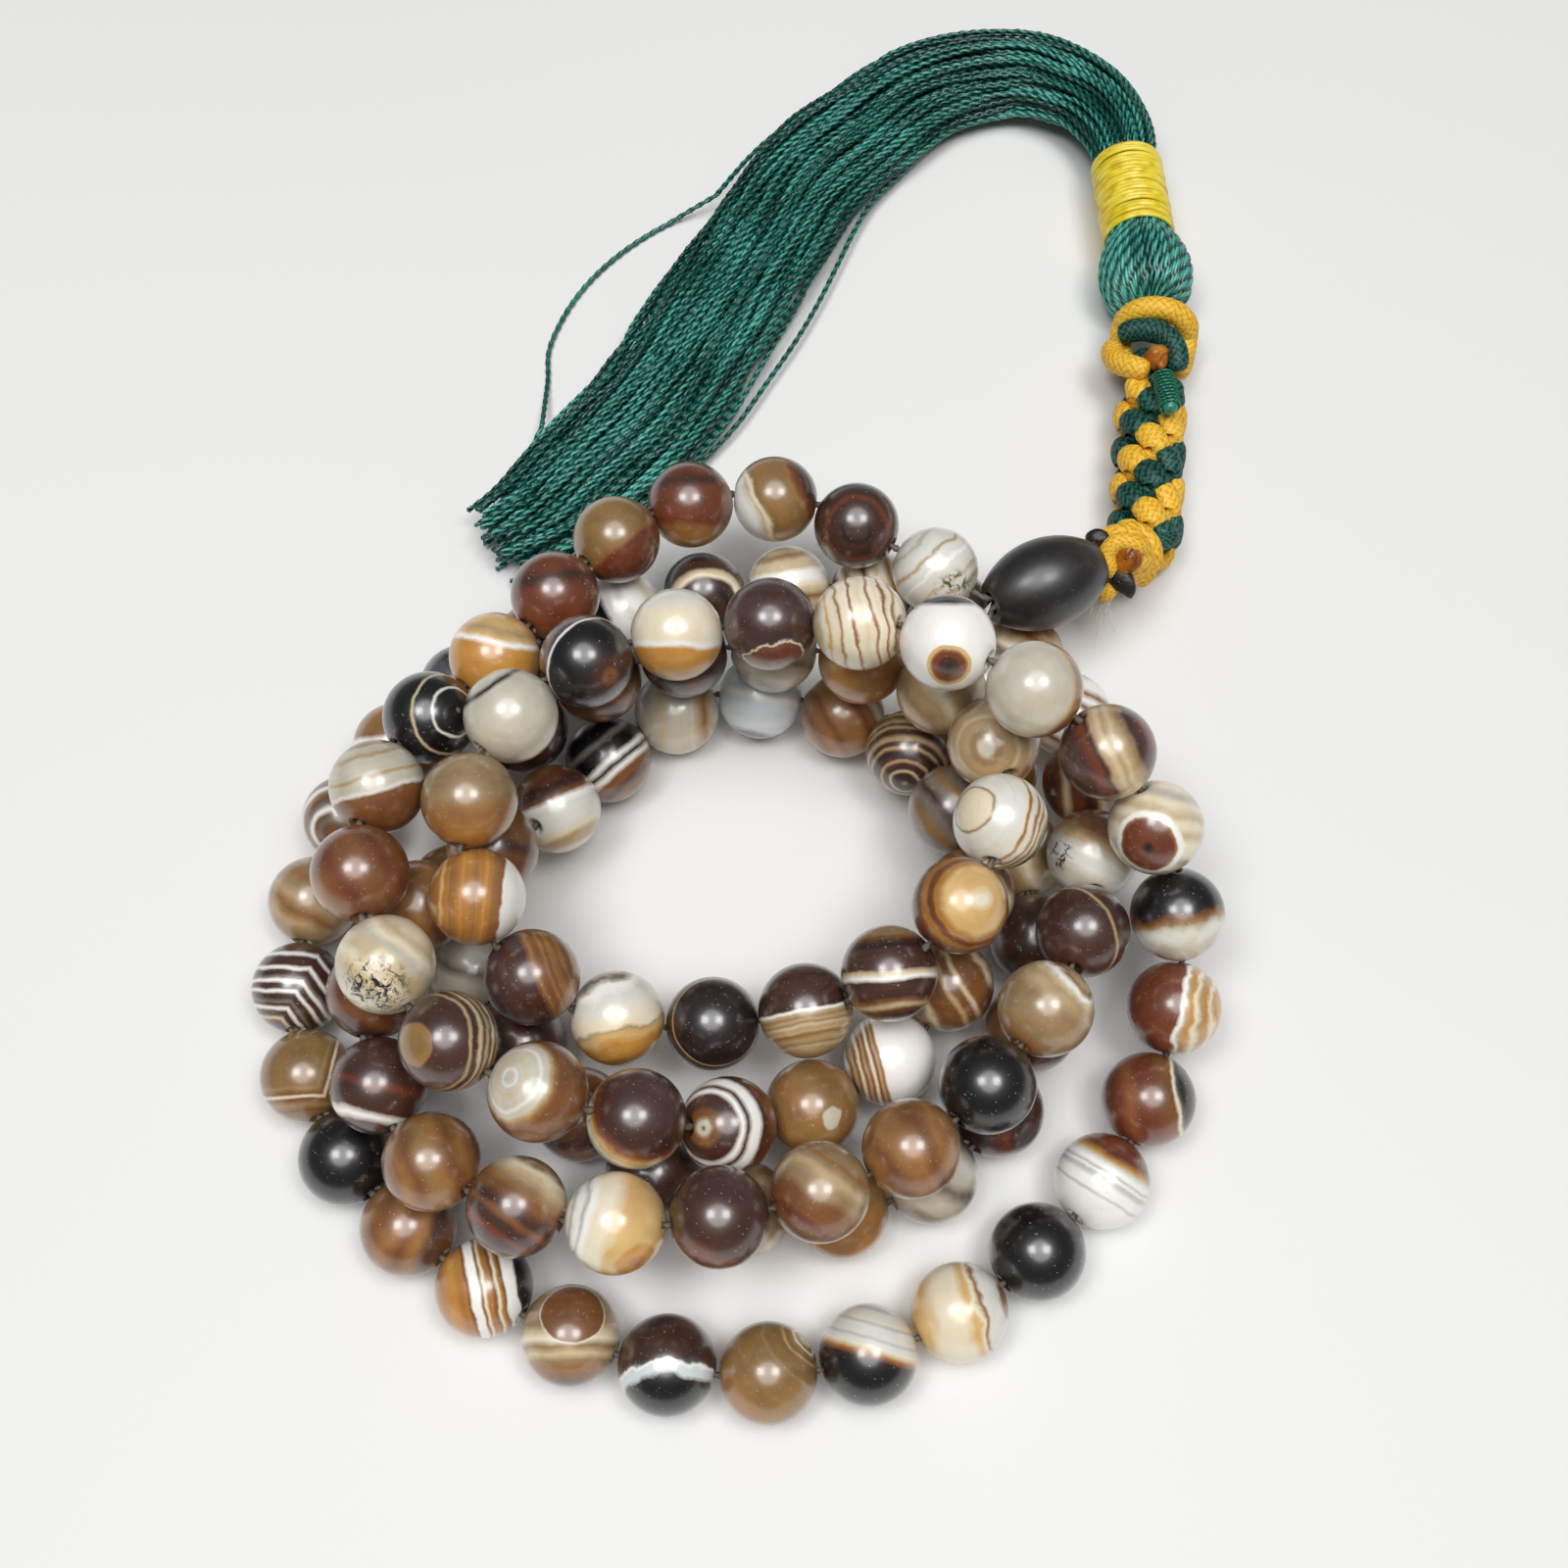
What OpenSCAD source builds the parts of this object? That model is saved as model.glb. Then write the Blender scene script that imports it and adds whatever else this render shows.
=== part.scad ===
// Mala: a strand of round agate beads laid down in loose turns,
// closed by an oval guru bead with a braided cord pendant and a thread tassel.
// Millimetres, +Z up. The beads lie on the plane z = 0.
// The view of the photograph looks along +Y, with +X to the right.

/* [Beads] */
// Diameter of a bead
bead_d = 10; // [8:0.5:12]
// Least room between two beads that lie against each other
bead_gap = 0.2; // [0.1:0.05:0.4]
// Bare string between two beads that follow each other
string_slack = 0.3; // [0.2:0.05:0.8]
// Depth of the countersink at each end of a bead's bore
mouth_depth = 0.35; // [0.2:0.05:0.5]

/* [String] */
// Diameter of the string
string_d = 0.9; // [0.6:0.1:1.4]
// Room between the string and the bore, all round
string_play = 0.25; // [0.15:0.05:0.5]

/* [Guru bead] */
// Length of the guru bead
guru_l = 14; // [11:0.5:18]
// Greatest diameter of the guru bead
guru_d = 10.6; // [9:0.2:13]
// Diameter of the flat face at each end of the guru bead
guru_face_d = 5; // [4.4:0.1:6]

/* [Braid and knots] */
// Diameter of the four braided cords
cord_d = 2.7; // [2.2:0.1:3]
// Room between cords that lie against each other
cord_gap = 0.2; // [0.15:0.05:0.4]
// Layers of the braid
braid_layers = 8; // [6:1:10]
// Room between two layers of the braid
layer_room = 0.1; // [0.05:0.05:0.4]
// Turns of the knot under the guru bead
knot_turns = 2; // [1:1:3]
// Diameter of the cord inside the lower knot
core_d = 1.6; // [1.2:0.1:2]
// Room between two turns of the lower knot
turn_gap = 0.55; // [0.5:0.05:0.8]
// Diameter of the whipping thread on the cord stub
whip_d = 0.4; // [0.3:0.05:0.5]
// Turns of the whipping
whip_turns = 6; // [5:1:9]
// Diameter of the melted cord end
singe_d = 2.6; // [2:0.1:2.8]

/* [Tassel] */
// Greatest diameter of the tassel head
head_d = 12; // [10:0.5:14]
// Length of the tassel head, from its neck to the wrap
head_l = 12; // [10:0.5:16]
// Diameter of the neck that the collar goes round
neck_d = 4; // [3.4:0.2:4.6]
// Room between the neck and the collar, in which the tassel swings
collar_room = 0.8; // [0.7:0.05:1.2]
// Diameter of the bound threads under the wrap
bound_d = 8.6; // [7:0.2:9.6]
// Diameter of the wrapping thread
wrap_d = 0.6; // [0.4:0.05:0.8]
// Turns of the wrap
wrap_turns = 12; // [8:1:16]
// Room between two turns of the wrap
wrap_gap = 0.48; // [0.45:0.05:0.8]
// Length of the skirt along its middle
skirt_l = 138; // [100:2:140]
// Cross section of the loose threads together
skirt_area = 84; // [60:2:100]
// Diameter of a skirt thread
thread_d = 0.8; // [0.5:0.1:1.2]
// Height of a thread above the surface that it lies on
lie = 0.1; // [0.05:0.05:0.3]

/* [Hidden] */

stone = [0.42, 0.26, 0.16];
stone_dark = [0.2, 0.13, 0.1];
black = [0.07, 0.07, 0.08];
green = [0.05, 0.4, 0.3];
yellow = [0.92, 0.72, 0.1];
white = [0.9, 0.88, 0.82];

// Beads on the strand, without the guru bead
bead_count = 108;
// Rounds of the settling that parts the beads and keeps their spacing
settle_rounds = 200;
// Steps of the smooth curve between two points of the route
span_steps = 8;

bead_r = bead_d / 2;
pitch = bead_d + string_slack;
keep = bead_d + bead_gap;
bore_d = string_d + 2 * string_play;

// The way the strand was laid down, from the guru bead round to it again, in bead diameters.
// Each point is a place on the strand: across, back and up.
route = [
  [2.75, 3.25, 1.15], [2.6, 2.7, 0.9], [3.1, 1.3, 0.55], [3.2, -0.1, 0.5], [3.1, -1.4, 0.5],
  [2.4, -2.5, 0.5], [1.1, -3.2, 0.5], [-0.8, -2.9, 0.5], [-2, -1.8, 0.5], [-2.9, -0.4, 0.5],
  [-3.2, 0.9, 0.6], [-2.4, 2.2, 1.1], [-1, 2.8, 1.4], [0.6, 2.9, 1.5], [2, 2.5, 1.6],
  [2.8, 1.4, 2.1], [2.6, 0, 2.3], [1.5, -1, 1.75], [0.7, -1.2, 1.2], [-0.8, -1.3, 1],
  [-2.1, -1, 1.65], [-2.8, 0.1, 2.3], [-2.4, 1.6, 2.5], [-1.1, 2.4, 2.4], [0.4, 2.7, 2.5],
  [1.7, 2.3, 3], [3, 1.6, 3.2], [4.1, 0.8, 2.4], [4.7, -0.3, 1.4], [4.6, -1.5, 0.7],
  [3.8, -2.9, 0.5], [2.3, -4.2, 0.5], [0.5, -4.8, 0.5], [-1.5, -4.5, 0.5], [-3.2, -3.5, 0.5],
  [-4.6, -1.9, 0.5], [-4.8, 0.1, 0.5], [-4.1, 2, 0.7], [-2.4, 3.4, 0.9], [-0.4, 4.1, 0.9],
  [1.6, 4.3, 0.7], [2.6, 3.9, 0.5], [3.4, 3.3, 0.5], [3.9, 1.9, 0.9], [3.7, -0.2, 1.2],
  [2.7, -2, 1.4], [1.6, -2.9, 1.4], [-0.3, -3.5, 1.6], [-2.2, -3.3, 1.4], [-3.7, -2, 1.3],
  [-3.8, -0.8, 1.4], [-3.4, 0, 1.4], [-2.5, 0.7, 1.1], [-2.2, 1.4, 0.6], [-1.1, 2.4, 0.5],
  [0.3, 2.8, 0.5], [1.7, 2.2, 0.6], [2.4, 1, 1.2], [2.5, -0.4, 1], [1.6, -1.6, 0.6],
  [0.4, -2.3, 1], [-1.4, -2.5, 1.9], [-3.1, -1.6, 2.1], [-3.8, -0.3, 2.2], [-3.6, 1.2, 2.2],
  [-2.7, 2.5, 2], [-1.4, 4.1, 1.9], [0.4, 4.9, 1.6], [1.8, 4.4, 1.5], [2.75, 3.75, 1.4]
];

// Small vector helpers
function unit(v) = v / norm(v);
function at(p, i) = p[min(max(i, 0), len(p) - 1)];
function mids(v) = [for (i = [0 : len(v) - 2]) (v[i] + v[i + 1]) / 2];
function total_of(v) = len(v) == 0 ? [0, 0, 0] : [for (q = v) 1] * v;
function least(a, b) = min([for (p = a) for (q = b) norm(p - q)]);

// A smooth curve through b and c, between its neighbours a and d
function bend(a, b, c, d, t) =
  0.5 * (2 * b + (c - a) * t + (2 * a - 5 * b + 4 * c - d) * t * t
    + (3 * b - a - 3 * c + d) * t * t * t);
function smooth(p, steps) = [
  for (i = [0 : len(p) - 2]) for (s = [0 : steps - 1])
    bend(at(p, i - 1), p[i], p[i + 1], at(p, i + 2), s / steps),
  p[len(p) - 1]
];
// Length along a curve, and the place at a given length
function run_of(p) =
  [for (i = 0, s = 0; i < len(p); s = s + norm(at(p, i + 1) - p[i]), i = i + 1) s];
function column(p, run, a) = [for (i = [0 : len(p) - 1]) [run[i], p[i][a]]];
function place(p, run, s) = [for (a = [0 : 2]) lookup(s, column(p, run, a))];

// The guru bead: its string end, its axis and its shape
guru_mouth = bead_d * [2.9, 3.6, 1.44];
guru_dir = unit([0.92, 0.39, 0]);
guru_mid = guru_mouth + guru_dir * guru_l / 2;
guru_end = guru_mouth + guru_dir * guru_l;
guru_sag = (guru_d - guru_face_d) / 2;
guru_arc = (guru_sag * guru_sag + guru_l * guru_l / 4) / (2 * guru_sag);
guru_bore_d = 2 * string_d + 4 * string_play;
function guru_r(s) = sqrt(guru_arc * guru_arc - s * s) - guru_arc + guru_d / 2;
guru_stations = [for (s = [-0.42, -0.25, 0, 0.25, 0.42]) s * guru_l];

// The strand, laid along its route and then settled: beads part until they only touch,
// keep their pitch on the string and rest on the surface or on each other.
fine = bead_d * smooth(route, span_steps);
fine_run = run_of(fine);
route_l = fine_run[len(fine_run) - 1];
cx = column(fine, fine_run, 0);
cy = column(fine, fine_run, 1);
cz = column(fine, fine_run, 2);
laid = [
  for (i = [0 : bead_count]) let (s = route_l * i / bead_count)
    [lookup(s, cx), lookup(s, cy), lookup(s, cz)]
];
start = mids(laid);
near = [
  for (i = [0 : bead_count - 1])
    [for (j = [0 : bead_count - 1]) if (j != i && norm(start[i] - start[j]) < 1.7 * bead_d) j]
];
function part_from(c, q, room) =
  let (v = c - q, l = norm(v)) l < room ? v * (room - l) / l : [0, 0, 0];
function push(c, i) =
  total_of([for (j = near[i]) part_from(c[i], c[j], keep) / 2])
  + total_of([for (s = guru_stations)
      part_from(c[i], guru_mid + guru_dir * s, bead_r + guru_r(s) + bead_gap)])
  + [0, 0, max(0, bead_r + lie / 2 - c[i][2])];
function pull(v, i, j) = let (q = v[j] - v[i], l = norm(q)) q * (l - pitch) / (2 * l);
function settle(v, n) =
  n == 0 ? v : let (
    c = mids(v),
    b = [for (i = [0 : bead_count - 1]) push(c, i)]
  )
  settle([
    for (i = [0 : bead_count])
      i == 0 || i == bead_count ? v[i]
      : v[i] + 0.6 * (b[i - 1] + b[i]) + 0.45 * (pull(v, i, i - 1) + pull(v, i, i + 1))
  ], n - 1);
joins = settle(laid, settle_rounds);
beads = mids(joins);

// Round tubes swept along points, and their parts
function heading(p, i) = unit(at(p, i + 1) - at(p, i - 1));
function first_side(t) = unit(cross(t, abs(t[2]) < 0.9 ? [0, 0, 1] : [1, 0, 0]));
function carried(u, t) = unit(u - t * (u * t));
function sides_along(p) = [
  for (i = 0, u = first_side(heading(p, 0)); i < len(p);
       u = i + 1 < len(p) ? carried(u, heading(p, i + 1)) : u, i = i + 1) u
];
module skin(rings) {
  n = len(rings[0]);
  m = len(rings);
  polyhedron(
    points = [for (r = rings) for (q = r) q],
    faces = concat(
      [for (i = [0 : m - 2]) for (k = [0 : n - 1])
        [i * n + k, i * n + (k + 1) % n, (i + 1) * n + (k + 1) % n]],
      [for (i = [0 : m - 2]) for (k = [0 : n - 1])
        [i * n + k, (i + 1) * n + (k + 1) % n, (i + 1) * n + k]],
      [for (k = [1 : n - 2]) [0, k + 1, k]],
      [for (k = [1 : n - 2]) [(m - 1) * n, (m - 1) * n + k, (m - 1) * n + k + 1]]
    )
  );
}
module tube(p, d, n) {
  u = sides_along(p);
  skin([
    for (i = [0 : len(p) - 1]) let (w = cross(u[i], heading(p, i)))
      [for (k = [0 : n - 1])
        p[i] + d / 2 * (cos(360 * k / n) * u[i] + sin(360 * k / n) * w)]
  ]);
}
module stand(p, dir) {
  translate(p) rotate([0, acos(dir[2]), atan2(dir[1], dir[0])]) children();
}

// One bead: a ball with a bore and a countersink at each end
module one_bead(i) {
  pole = sqrt(bead_r * bead_r - bore_d * bore_d / 4);
  stand(beads[i], unit(joins[i + 1] - joins[i]))
    difference() {
      sphere(d = bead_d, $fn = 48);
      cylinder(h = 2 * bead_d, d = bore_d, center = true, $fn = 32);
      for (a = [0, 180]) rotate([a, 0, 0])
        translate([0, 0, pole - mouth_depth])
          cylinder(h = 2 * mouth_depth, d1 = bore_d, d2 = bore_d + 4 * mouth_depth, $fn = 32);
    }
}
module bead_run(first, last) {
  for (i = [first : last]) one_bead(i);
}

// The string: out of the guru bead, through every bead and back into it
string_side = (string_d + string_play) / 2;
guru_across = unit(cross([0, 0, 1], guru_dir));
string_in = guru_l * 0.35;
function guru_lead(side, s) = guru_mouth + guru_dir * s + guru_across * side * string_side;
string_path = concat(
  [guru_lead(-1, string_in), guru_lead(-1, 0)],
  joins,
  [guru_lead(1, 0), guru_lead(1, string_in)]
);
module string_cord() {
  color(white) tube(string_path, string_d, 6);
}

module guru_bead() {
  color(black)
    stand(guru_mid, guru_dir)
      difference() {
        rotate_extrude($fn = 64)
          intersection() {
            translate([guru_d / 2 - guru_arc, 0]) circle(r = guru_arc, $fn = 128);
            translate([0, -guru_l / 2]) square([guru_d, guru_l]);
          }
        cylinder(h = 2 * guru_l, d = guru_bore_d, center = true, $fn = 32);
      }
}

// The pendant lies on the surface. Its own frame runs along the braid, from the lower knot.
pend_turn = 7;
// The braid is a round crown plait. Drawn tight, its cords are thinner there.
layer_l = cord_d + layer_room;
tight_d = 0.75 * cord_d;
braid_mid = 1.28 * cord_d;
braid_swell = 0.13 * cord_d;
braid_rise = 0.25 * cord_d;
braid_lean = 16;
braid_step = 45;
braid_r = braid_mid + braid_swell + tight_d / 2;
braid_l = braid_layers * layer_l;
knot_ring_d = core_d + cord_d + 2 * cord_gap;
knot_l = knot_turns * (cord_d + turn_gap) + cord_d;
pend_root = [
  guru_end[0] + 0.85 * knot_l,
  guru_end[1] + knot_ring_d + cord_d + 0.1 * knot_l,
  braid_r + lie
];
function pend(p) = pend_root + [
  p[0] * cos(pend_turn) + p[1] * sin(pend_turn),
  p[1] * cos(pend_turn) - p[0] * sin(pend_turn),
  p[2]
];
pend_dir = [sin(pend_turn), cos(pend_turn), 0];
pend_side = [cos(pend_turn), -sin(pend_turn), 0];

// Cord from the guru bead through the lower knot to the braid
core_from = guru_end + guru_dir * cord_gap;
core_to = pend([0, -cord_gap, 0]);
core_dir = unit(core_to - core_from);
core_path = [for (i = [0 : 4]) core_from + (core_to - core_from) * i / 4];
module core_cord() {
  color(yellow) tube(core_path, core_d, 8);
}

// Lower knot: one cord wound round the core, its ends run off straight
knot_mid = (core_from + core_to) / 2;
knot_u = unit(cross(core_dir, [0, 0, 1]));
knot_w = cross(core_dir, knot_u);
function knot_at(a) = knot_mid
  + core_dir * (a / 360 - knot_turns / 2) * (cord_d + turn_gap)
  + knot_ring_d / 2 * (cos(a) * knot_u + sin(a) * knot_w);
function knot_tan(a) = unit(knot_at(a + 1) - knot_at(a - 1));
knot_last = 360 * knot_turns;
knot_path = concat(
  [knot_at(0) - cord_d * knot_tan(0)],
  [for (a = [0 : 15 : knot_last]) knot_at(a)],
  [knot_at(knot_last) + cord_d * knot_tan(knot_last)]
);
module lower_knot() {
  color(yellow) tube(knot_path, cord_d, 8);
}

// Round crown plait of four cords: outside, each climbs and leans back over its neighbour,
// and inside it drops under the next one, an eighth of a turn on with every layer.
braid_rings = 8;
function braid_at(k, t) =
  let (
    a = 90 * k - braid_step * t + braid_lean * sin(360 * t) + 45,
    r = braid_mid + braid_swell * cos(360 * t)
  )
    pend([r * cos(a), layer_l * t + braid_rise * sin(360 * t), r * sin(a)]);
function braid_path(k) =
  [for (i = [0 : braid_layers * braid_rings]) braid_at(k, i / braid_rings)];
module braid_green_a() {
  color(green) tube(braid_path(0), tight_d, 8);
}
module braid_yellow_a() {
  color(yellow) tube(braid_path(1), tight_d, 8);
}
module braid_green_b() {
  color(green) tube(braid_path(2), tight_d, 8);
}
module braid_yellow_b() {
  color(yellow) tube(braid_path(3), tight_d, 8);
}

// Upper knot, between the braid and the tassel. Its loops are routed in cord diameters,
// from the end of the braid: across, along and up.
function over(p) = pend(cord_d * p + [0, braid_l, 0]);
heart_from = 0.4 * cord_d;
heart_l = 2.75 * cord_d;
heart_d = 1.5 * cord_d;
module knot_heart() {
  color(green)
    stand(pend([0, braid_l + heart_from, 0]), pend_dir)
      rotate_extrude($fn = 32)
        union() {
          square([heart_d / 2, heart_l - heart_d / 4]);
          square([heart_d / 4, heart_l]);
          translate([heart_d / 4, heart_l - heart_d / 4]) circle(d = heart_d / 2, $fn = 32);
        }
}
arc_route = [
  [-1.75, 3, 1], [-0.9, 3.15, 1.35], [0.1, 2.85, 1.6], [0.8, 2.1, 1.55], [1.05, 1.1, 1.25]
];
module green_arc() {
  color(green) tube([for (p = smooth(arc_route, 3)) over(p)], cord_d, 8);
}
bight_route = [[-1.95, 1.9, 0.75], [-1.75, 1.3, 1.05], [-1.2, 0.8, 1.45], [-0.5, 0.45, 1.65]];
module side_bight() {
  color(yellow) tube([for (p = smooth(bight_route, 3)) over(p)], cord_d, 8);
}
singe_at = over([-0.1, 1.5, 1.65]);
module singed_end() {
  color(yellow) translate(singe_at) sphere(d = singe_d, $fn = 32);
}

// Cord stub on top of the braid, whipped with fine thread
stub_d = 0.75 * cord_d;
whip_step = whip_d + 0.45;
whip_ring_d = stub_d + whip_d + 2 * cord_gap;
stub_l = whip_turns * whip_step + 2 * whip_d;
stub_z = braid_r + whip_ring_d / 2 + whip_d / 2 + cord_gap;
stub_dir = unit(pend([0.22, -1, 0]) - pend([0, 0, 0]));
stub_root = pend([0.1 * cord_d, braid_l - 0.2 * cord_d, stub_z]);
stub_u = unit(cross(stub_dir, [0, 0, 1]));
function whip_at(a) = stub_root
  + stub_dir * (whip_d + a / 360 * whip_step)
  + whip_ring_d / 2 * (cos(a) * stub_u + sin(a) * [0, 0, 1]);
whip_path = [for (a = [0 : 30 : 360 * whip_turns]) whip_at(a)];
module whipped_stub() {
  color(green) {
    stand(stub_root, stub_dir) cylinder(h = stub_l, d = stub_d, $fn = 24);
    tube(whip_path, whip_d, 6);
  }
}

// The tassel swings at its neck, where the collar goes round it
tassel_turn = -3;
tassel_dir = [sin(tassel_turn), cos(tassel_turn), 0];
tassel_side = [cos(tassel_turn), -sin(tassel_turn), 0];
collar_r = neck_d / 2 + collar_room + cord_d / 2;
neck_at = let (p = over([0, 0, 0]) + (heart_from + heart_l + neck_d / 2 + 2 * cord_gap) * pend_dir)
  [p[0], p[1], max(head_d / 2, collar_r + cord_d / 2) + lie];
function tassel(p) = neck_at + p[0] * tassel_side + p[1] * tassel_dir + [0, 0, p[2]];

function collar(p) = neck_at + p[0] * pend_side + p[1] * pend_dir + [0, 0, p[2]];
function collar_at(a) = collar([collar_r * cos(a), -0.06 * collar_r * cos(a), collar_r * sin(a)]);
arm_x = heart_d / 2 + 1.5 * cord_gap + cord_d / 2;
function arm_at(side) = [
  collar([side * arm_x, -2 * cord_d, -0.45 * collar_r]),
  collar([side * 0.98 * collar_r, -1.1 * cord_d, -0.4 * collar_r]),
  collar([side * 1.02 * collar_r, -0.4 * cord_d, -0.2 * collar_r])
];
collar_path = concat(
  arm_at(1), [for (a = [0 : 15 : 180]) collar_at(a)], [for (i = [2 : -1 : 0]) arm_at(-1)[i]]
);
module neck_collar() {
  color(yellow) tube(collar_path, cord_d, 8);
}

// Head: threads folded over the collar, swelling and drawn in under the wrap
neck_l = cord_d / 2 + collar_room + 4 * cord_gap;
wrap_step = wrap_d + wrap_gap;
wrap_l = (wrap_turns + 1) * wrap_step;
head_profile = concat(
  [for (a = [-90 : 15 : -15]) neck_d / 2 * [cos(a), sin(a)]],
  [[neck_d / 2, 0]],
  smooth([
    [neck_d / 2, neck_l], [0.42 * head_d, neck_l + 0.16 * head_l],
    [head_d / 2, neck_l + 0.46 * head_l], [0.46 * head_d, neck_l + 0.75 * head_l],
    [bound_d / 2, neck_l + head_l]
  ], 5)
);
module tassel_head() {
  color(green)
    stand(neck_at, tassel_dir)
      rotate_extrude($fn = 64)
        polygon(concat(
          head_profile,
          [[bound_d / 2, neck_l + head_l + wrap_l], [0, neck_l + head_l + wrap_l]]
        ));
}

// Wrap: one thread wound round the bound part, its ends run off straight
wrap_r = bound_d / 2 + cord_gap + wrap_d / 2;
function wrap_at(a) = tassel([
  wrap_r * cos(a), neck_l + head_l + wrap_step * (a / 360 + 0.5), wrap_r * sin(a)
]);
function wrap_tan(a) = unit(wrap_at(a + 1) - wrap_at(a - 1));
wrap_last = 360 * wrap_turns;
wrap_path = concat(
  [wrap_at(0) - wrap_d * wrap_tan(0)],
  [for (a = [0 : 15 : wrap_last]) wrap_at(a)],
  [wrap_at(wrap_last) + wrap_d * wrap_tan(wrap_last)]
);
module tassel_wrap() {
  color(yellow) tube(wrap_path, wrap_d, 6);
}

// Skirt: loose threads that sweep back round behind the beads. The first points are measured
// from the end of the wrap, in millimetres, the rest from the coil, in bead diameters.
skirt_from = tassel([0, neck_l + head_l + wrap_l + 2 * cord_gap, 0]);
arch_route = [[0, 0], [-0.8, 6], [-4.5, 13.5], [-12, 18.8], [-20, 19], [-28, 15.8], [-36, 8.6]];
trail_route = [
  [0.9, 11.3], [0.3, 10.2], [-0.5, 8.6], [-1.1, 7.4], [-1.9, 6.3], [-2.6, 5.4], [-3.45, 4.7], [-4.1, 4.2]
];
skirt_line = smooth(concat(
  [for (p = arch_route) [skirt_from[0] + p[0], skirt_from[1] + p[1], 0]],
  [for (p = trail_route) bead_d * [p[0], p[1], 0]]
), 4);
skirt_run = run_of(skirt_line);
// Half widths of the skirt at even steps of its length
skirt_halves = [bound_d / 2, 6, 7.8, 8.6, 8.8, 9, 9, 9.2, 9.4, 9.6, 9.4, 8.6, 7];
skirt_rings = 28;
skirt_ridges = 18;
skirt_half_at = [for (i = [0 : len(skirt_halves) - 1]) [i / (len(skirt_halves) - 1), skirt_halves[i]]];
function skirt_half(t) = lookup(t, skirt_half_at);
bound_area = PI * bound_d * bound_d / 4;
function skirt_high(t) = (bound_area + (skirt_area - bound_area) * min(1, 6 * t)) / (PI * skirt_half(t));
function skirt_mid(t) =
  let (p = place(skirt_line, skirt_run, t * skirt_l), drop = min(1, 5 * t))
    [p[0], p[1], (1 - drop) * neck_at[2] + drop * (skirt_high(t) + lie)];
function skirt_side(t) =
  let (q = skirt_mid(min(1, t + 0.01)) - skirt_mid(max(0, t - 0.01)))
    unit([q[1], -q[0], 0]);
function skirt_ring(t) = let (m = skirt_mid(t), s = skirt_side(t)) [
  for (k = [0 : 2 * skirt_ridges - 1])
    let (a = 180 * k / skirt_ridges, r = k % 2 == 0 ? 1 : 1 - thread_d / 2 / skirt_high(t))
      m + r * (skirt_half(t) * cos(a) * s + skirt_high(t) * sin(a) * [0, 0, 1])
];
module tassel_skirt() {
  color(green) skin([for (i = [0 : skirt_rings]) skirt_ring(i / skirt_rings)]);
}

// One thread that left the bundle and lies in a wide loop beside it, from the skirt's left edge
function stray_seat(t) = skirt_mid(t) + (skirt_half(t) + thread_d / 2 + 1.5 * cord_gap) * skirt_side(t);
stray_from = stray_seat(0.52);
stray_to = stray_seat(0.86);
stray_route = [[-7, -3], [-14, -9], [-19, -16], [-22, -24], [-22, -30]];
stray_z = thread_d / 2 + lie;
stray_path = [
  for (p = smooth(concat(
    [stray_from],
    [for (p = stray_route) [stray_from[0] + p[0], stray_from[1] + p[1], stray_z]],
    [stray_to]
  ), 4)) [p[0], p[1], max(p[2], stray_z)]
];
module stray_thread() {
  color(green) tube(stray_path, thread_d, 8);
}

module bead_023() { color(stone) one_bead(22); }
module bead_024() { color(stone) one_bead(23); }
module bead_025() { color(stone) one_bead(24); }
module bead_026() { color(stone) one_bead(25); }
module bead_027() { color(stone) one_bead(26); }
module bead_028() { color(stone) one_bead(27); }
module bead_029() { color(stone) one_bead(28); }
module bead_030() { color(stone) one_bead(29); }
module bead_031() { color(stone) one_bead(30); }
module bead_032() { color(stone) one_bead(31); }
module bead_033() { color(stone) one_bead(32); }
module bead_034() { color(stone) one_bead(33); }
module bead_035() { color(stone) one_bead(34); }
module bead_036() { color(stone) one_bead(35); }
module bead_037() { color(stone) one_bead(36); }
module bead_038() { color(stone) one_bead(37); }
module bead_039() { color(stone) one_bead(38); }
module bead_040() { color(stone) one_bead(39); }
module bead_041() { color(stone) one_bead(40); }
module bead_042() { color(stone) one_bead(41); }
module bead_043() { color(stone) one_bead(42); }
module bead_044() { color(stone) one_bead(43); }
module bead_045() { color(stone) one_bead(44); }
module bead_046() { color(stone) one_bead(45); }
module bead_047() { color(stone) one_bead(46); }
module bead_048() { color(stone) one_bead(47); }
module bead_049() { color(stone) one_bead(48); }
module bead_050() { color(stone) one_bead(49); }
module bead_051() { color(stone) one_bead(50); }
module bead_052() { color(stone) one_bead(51); }
module bead_053() { color(stone) one_bead(52); }
module bead_054() { color(stone) one_bead(53); }
module bead_055() { color(stone) one_bead(54); }
module bead_056() { color(stone) one_bead(55); }
module beads_001_012() { color(stone_dark) bead_run(0, 11); }
module beads_013_022() { color(stone_dark) bead_run(12, 21); }
module beads_057_069() { color(stone_dark) bead_run(56, 68); }
module beads_070_080() { color(stone_dark) bead_run(69, 79); }
module beads_081_091() { color(stone_dark) bead_run(80, 90); }
module beads_092_108() { color(stone_dark) bead_run(91, 107); }

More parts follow.
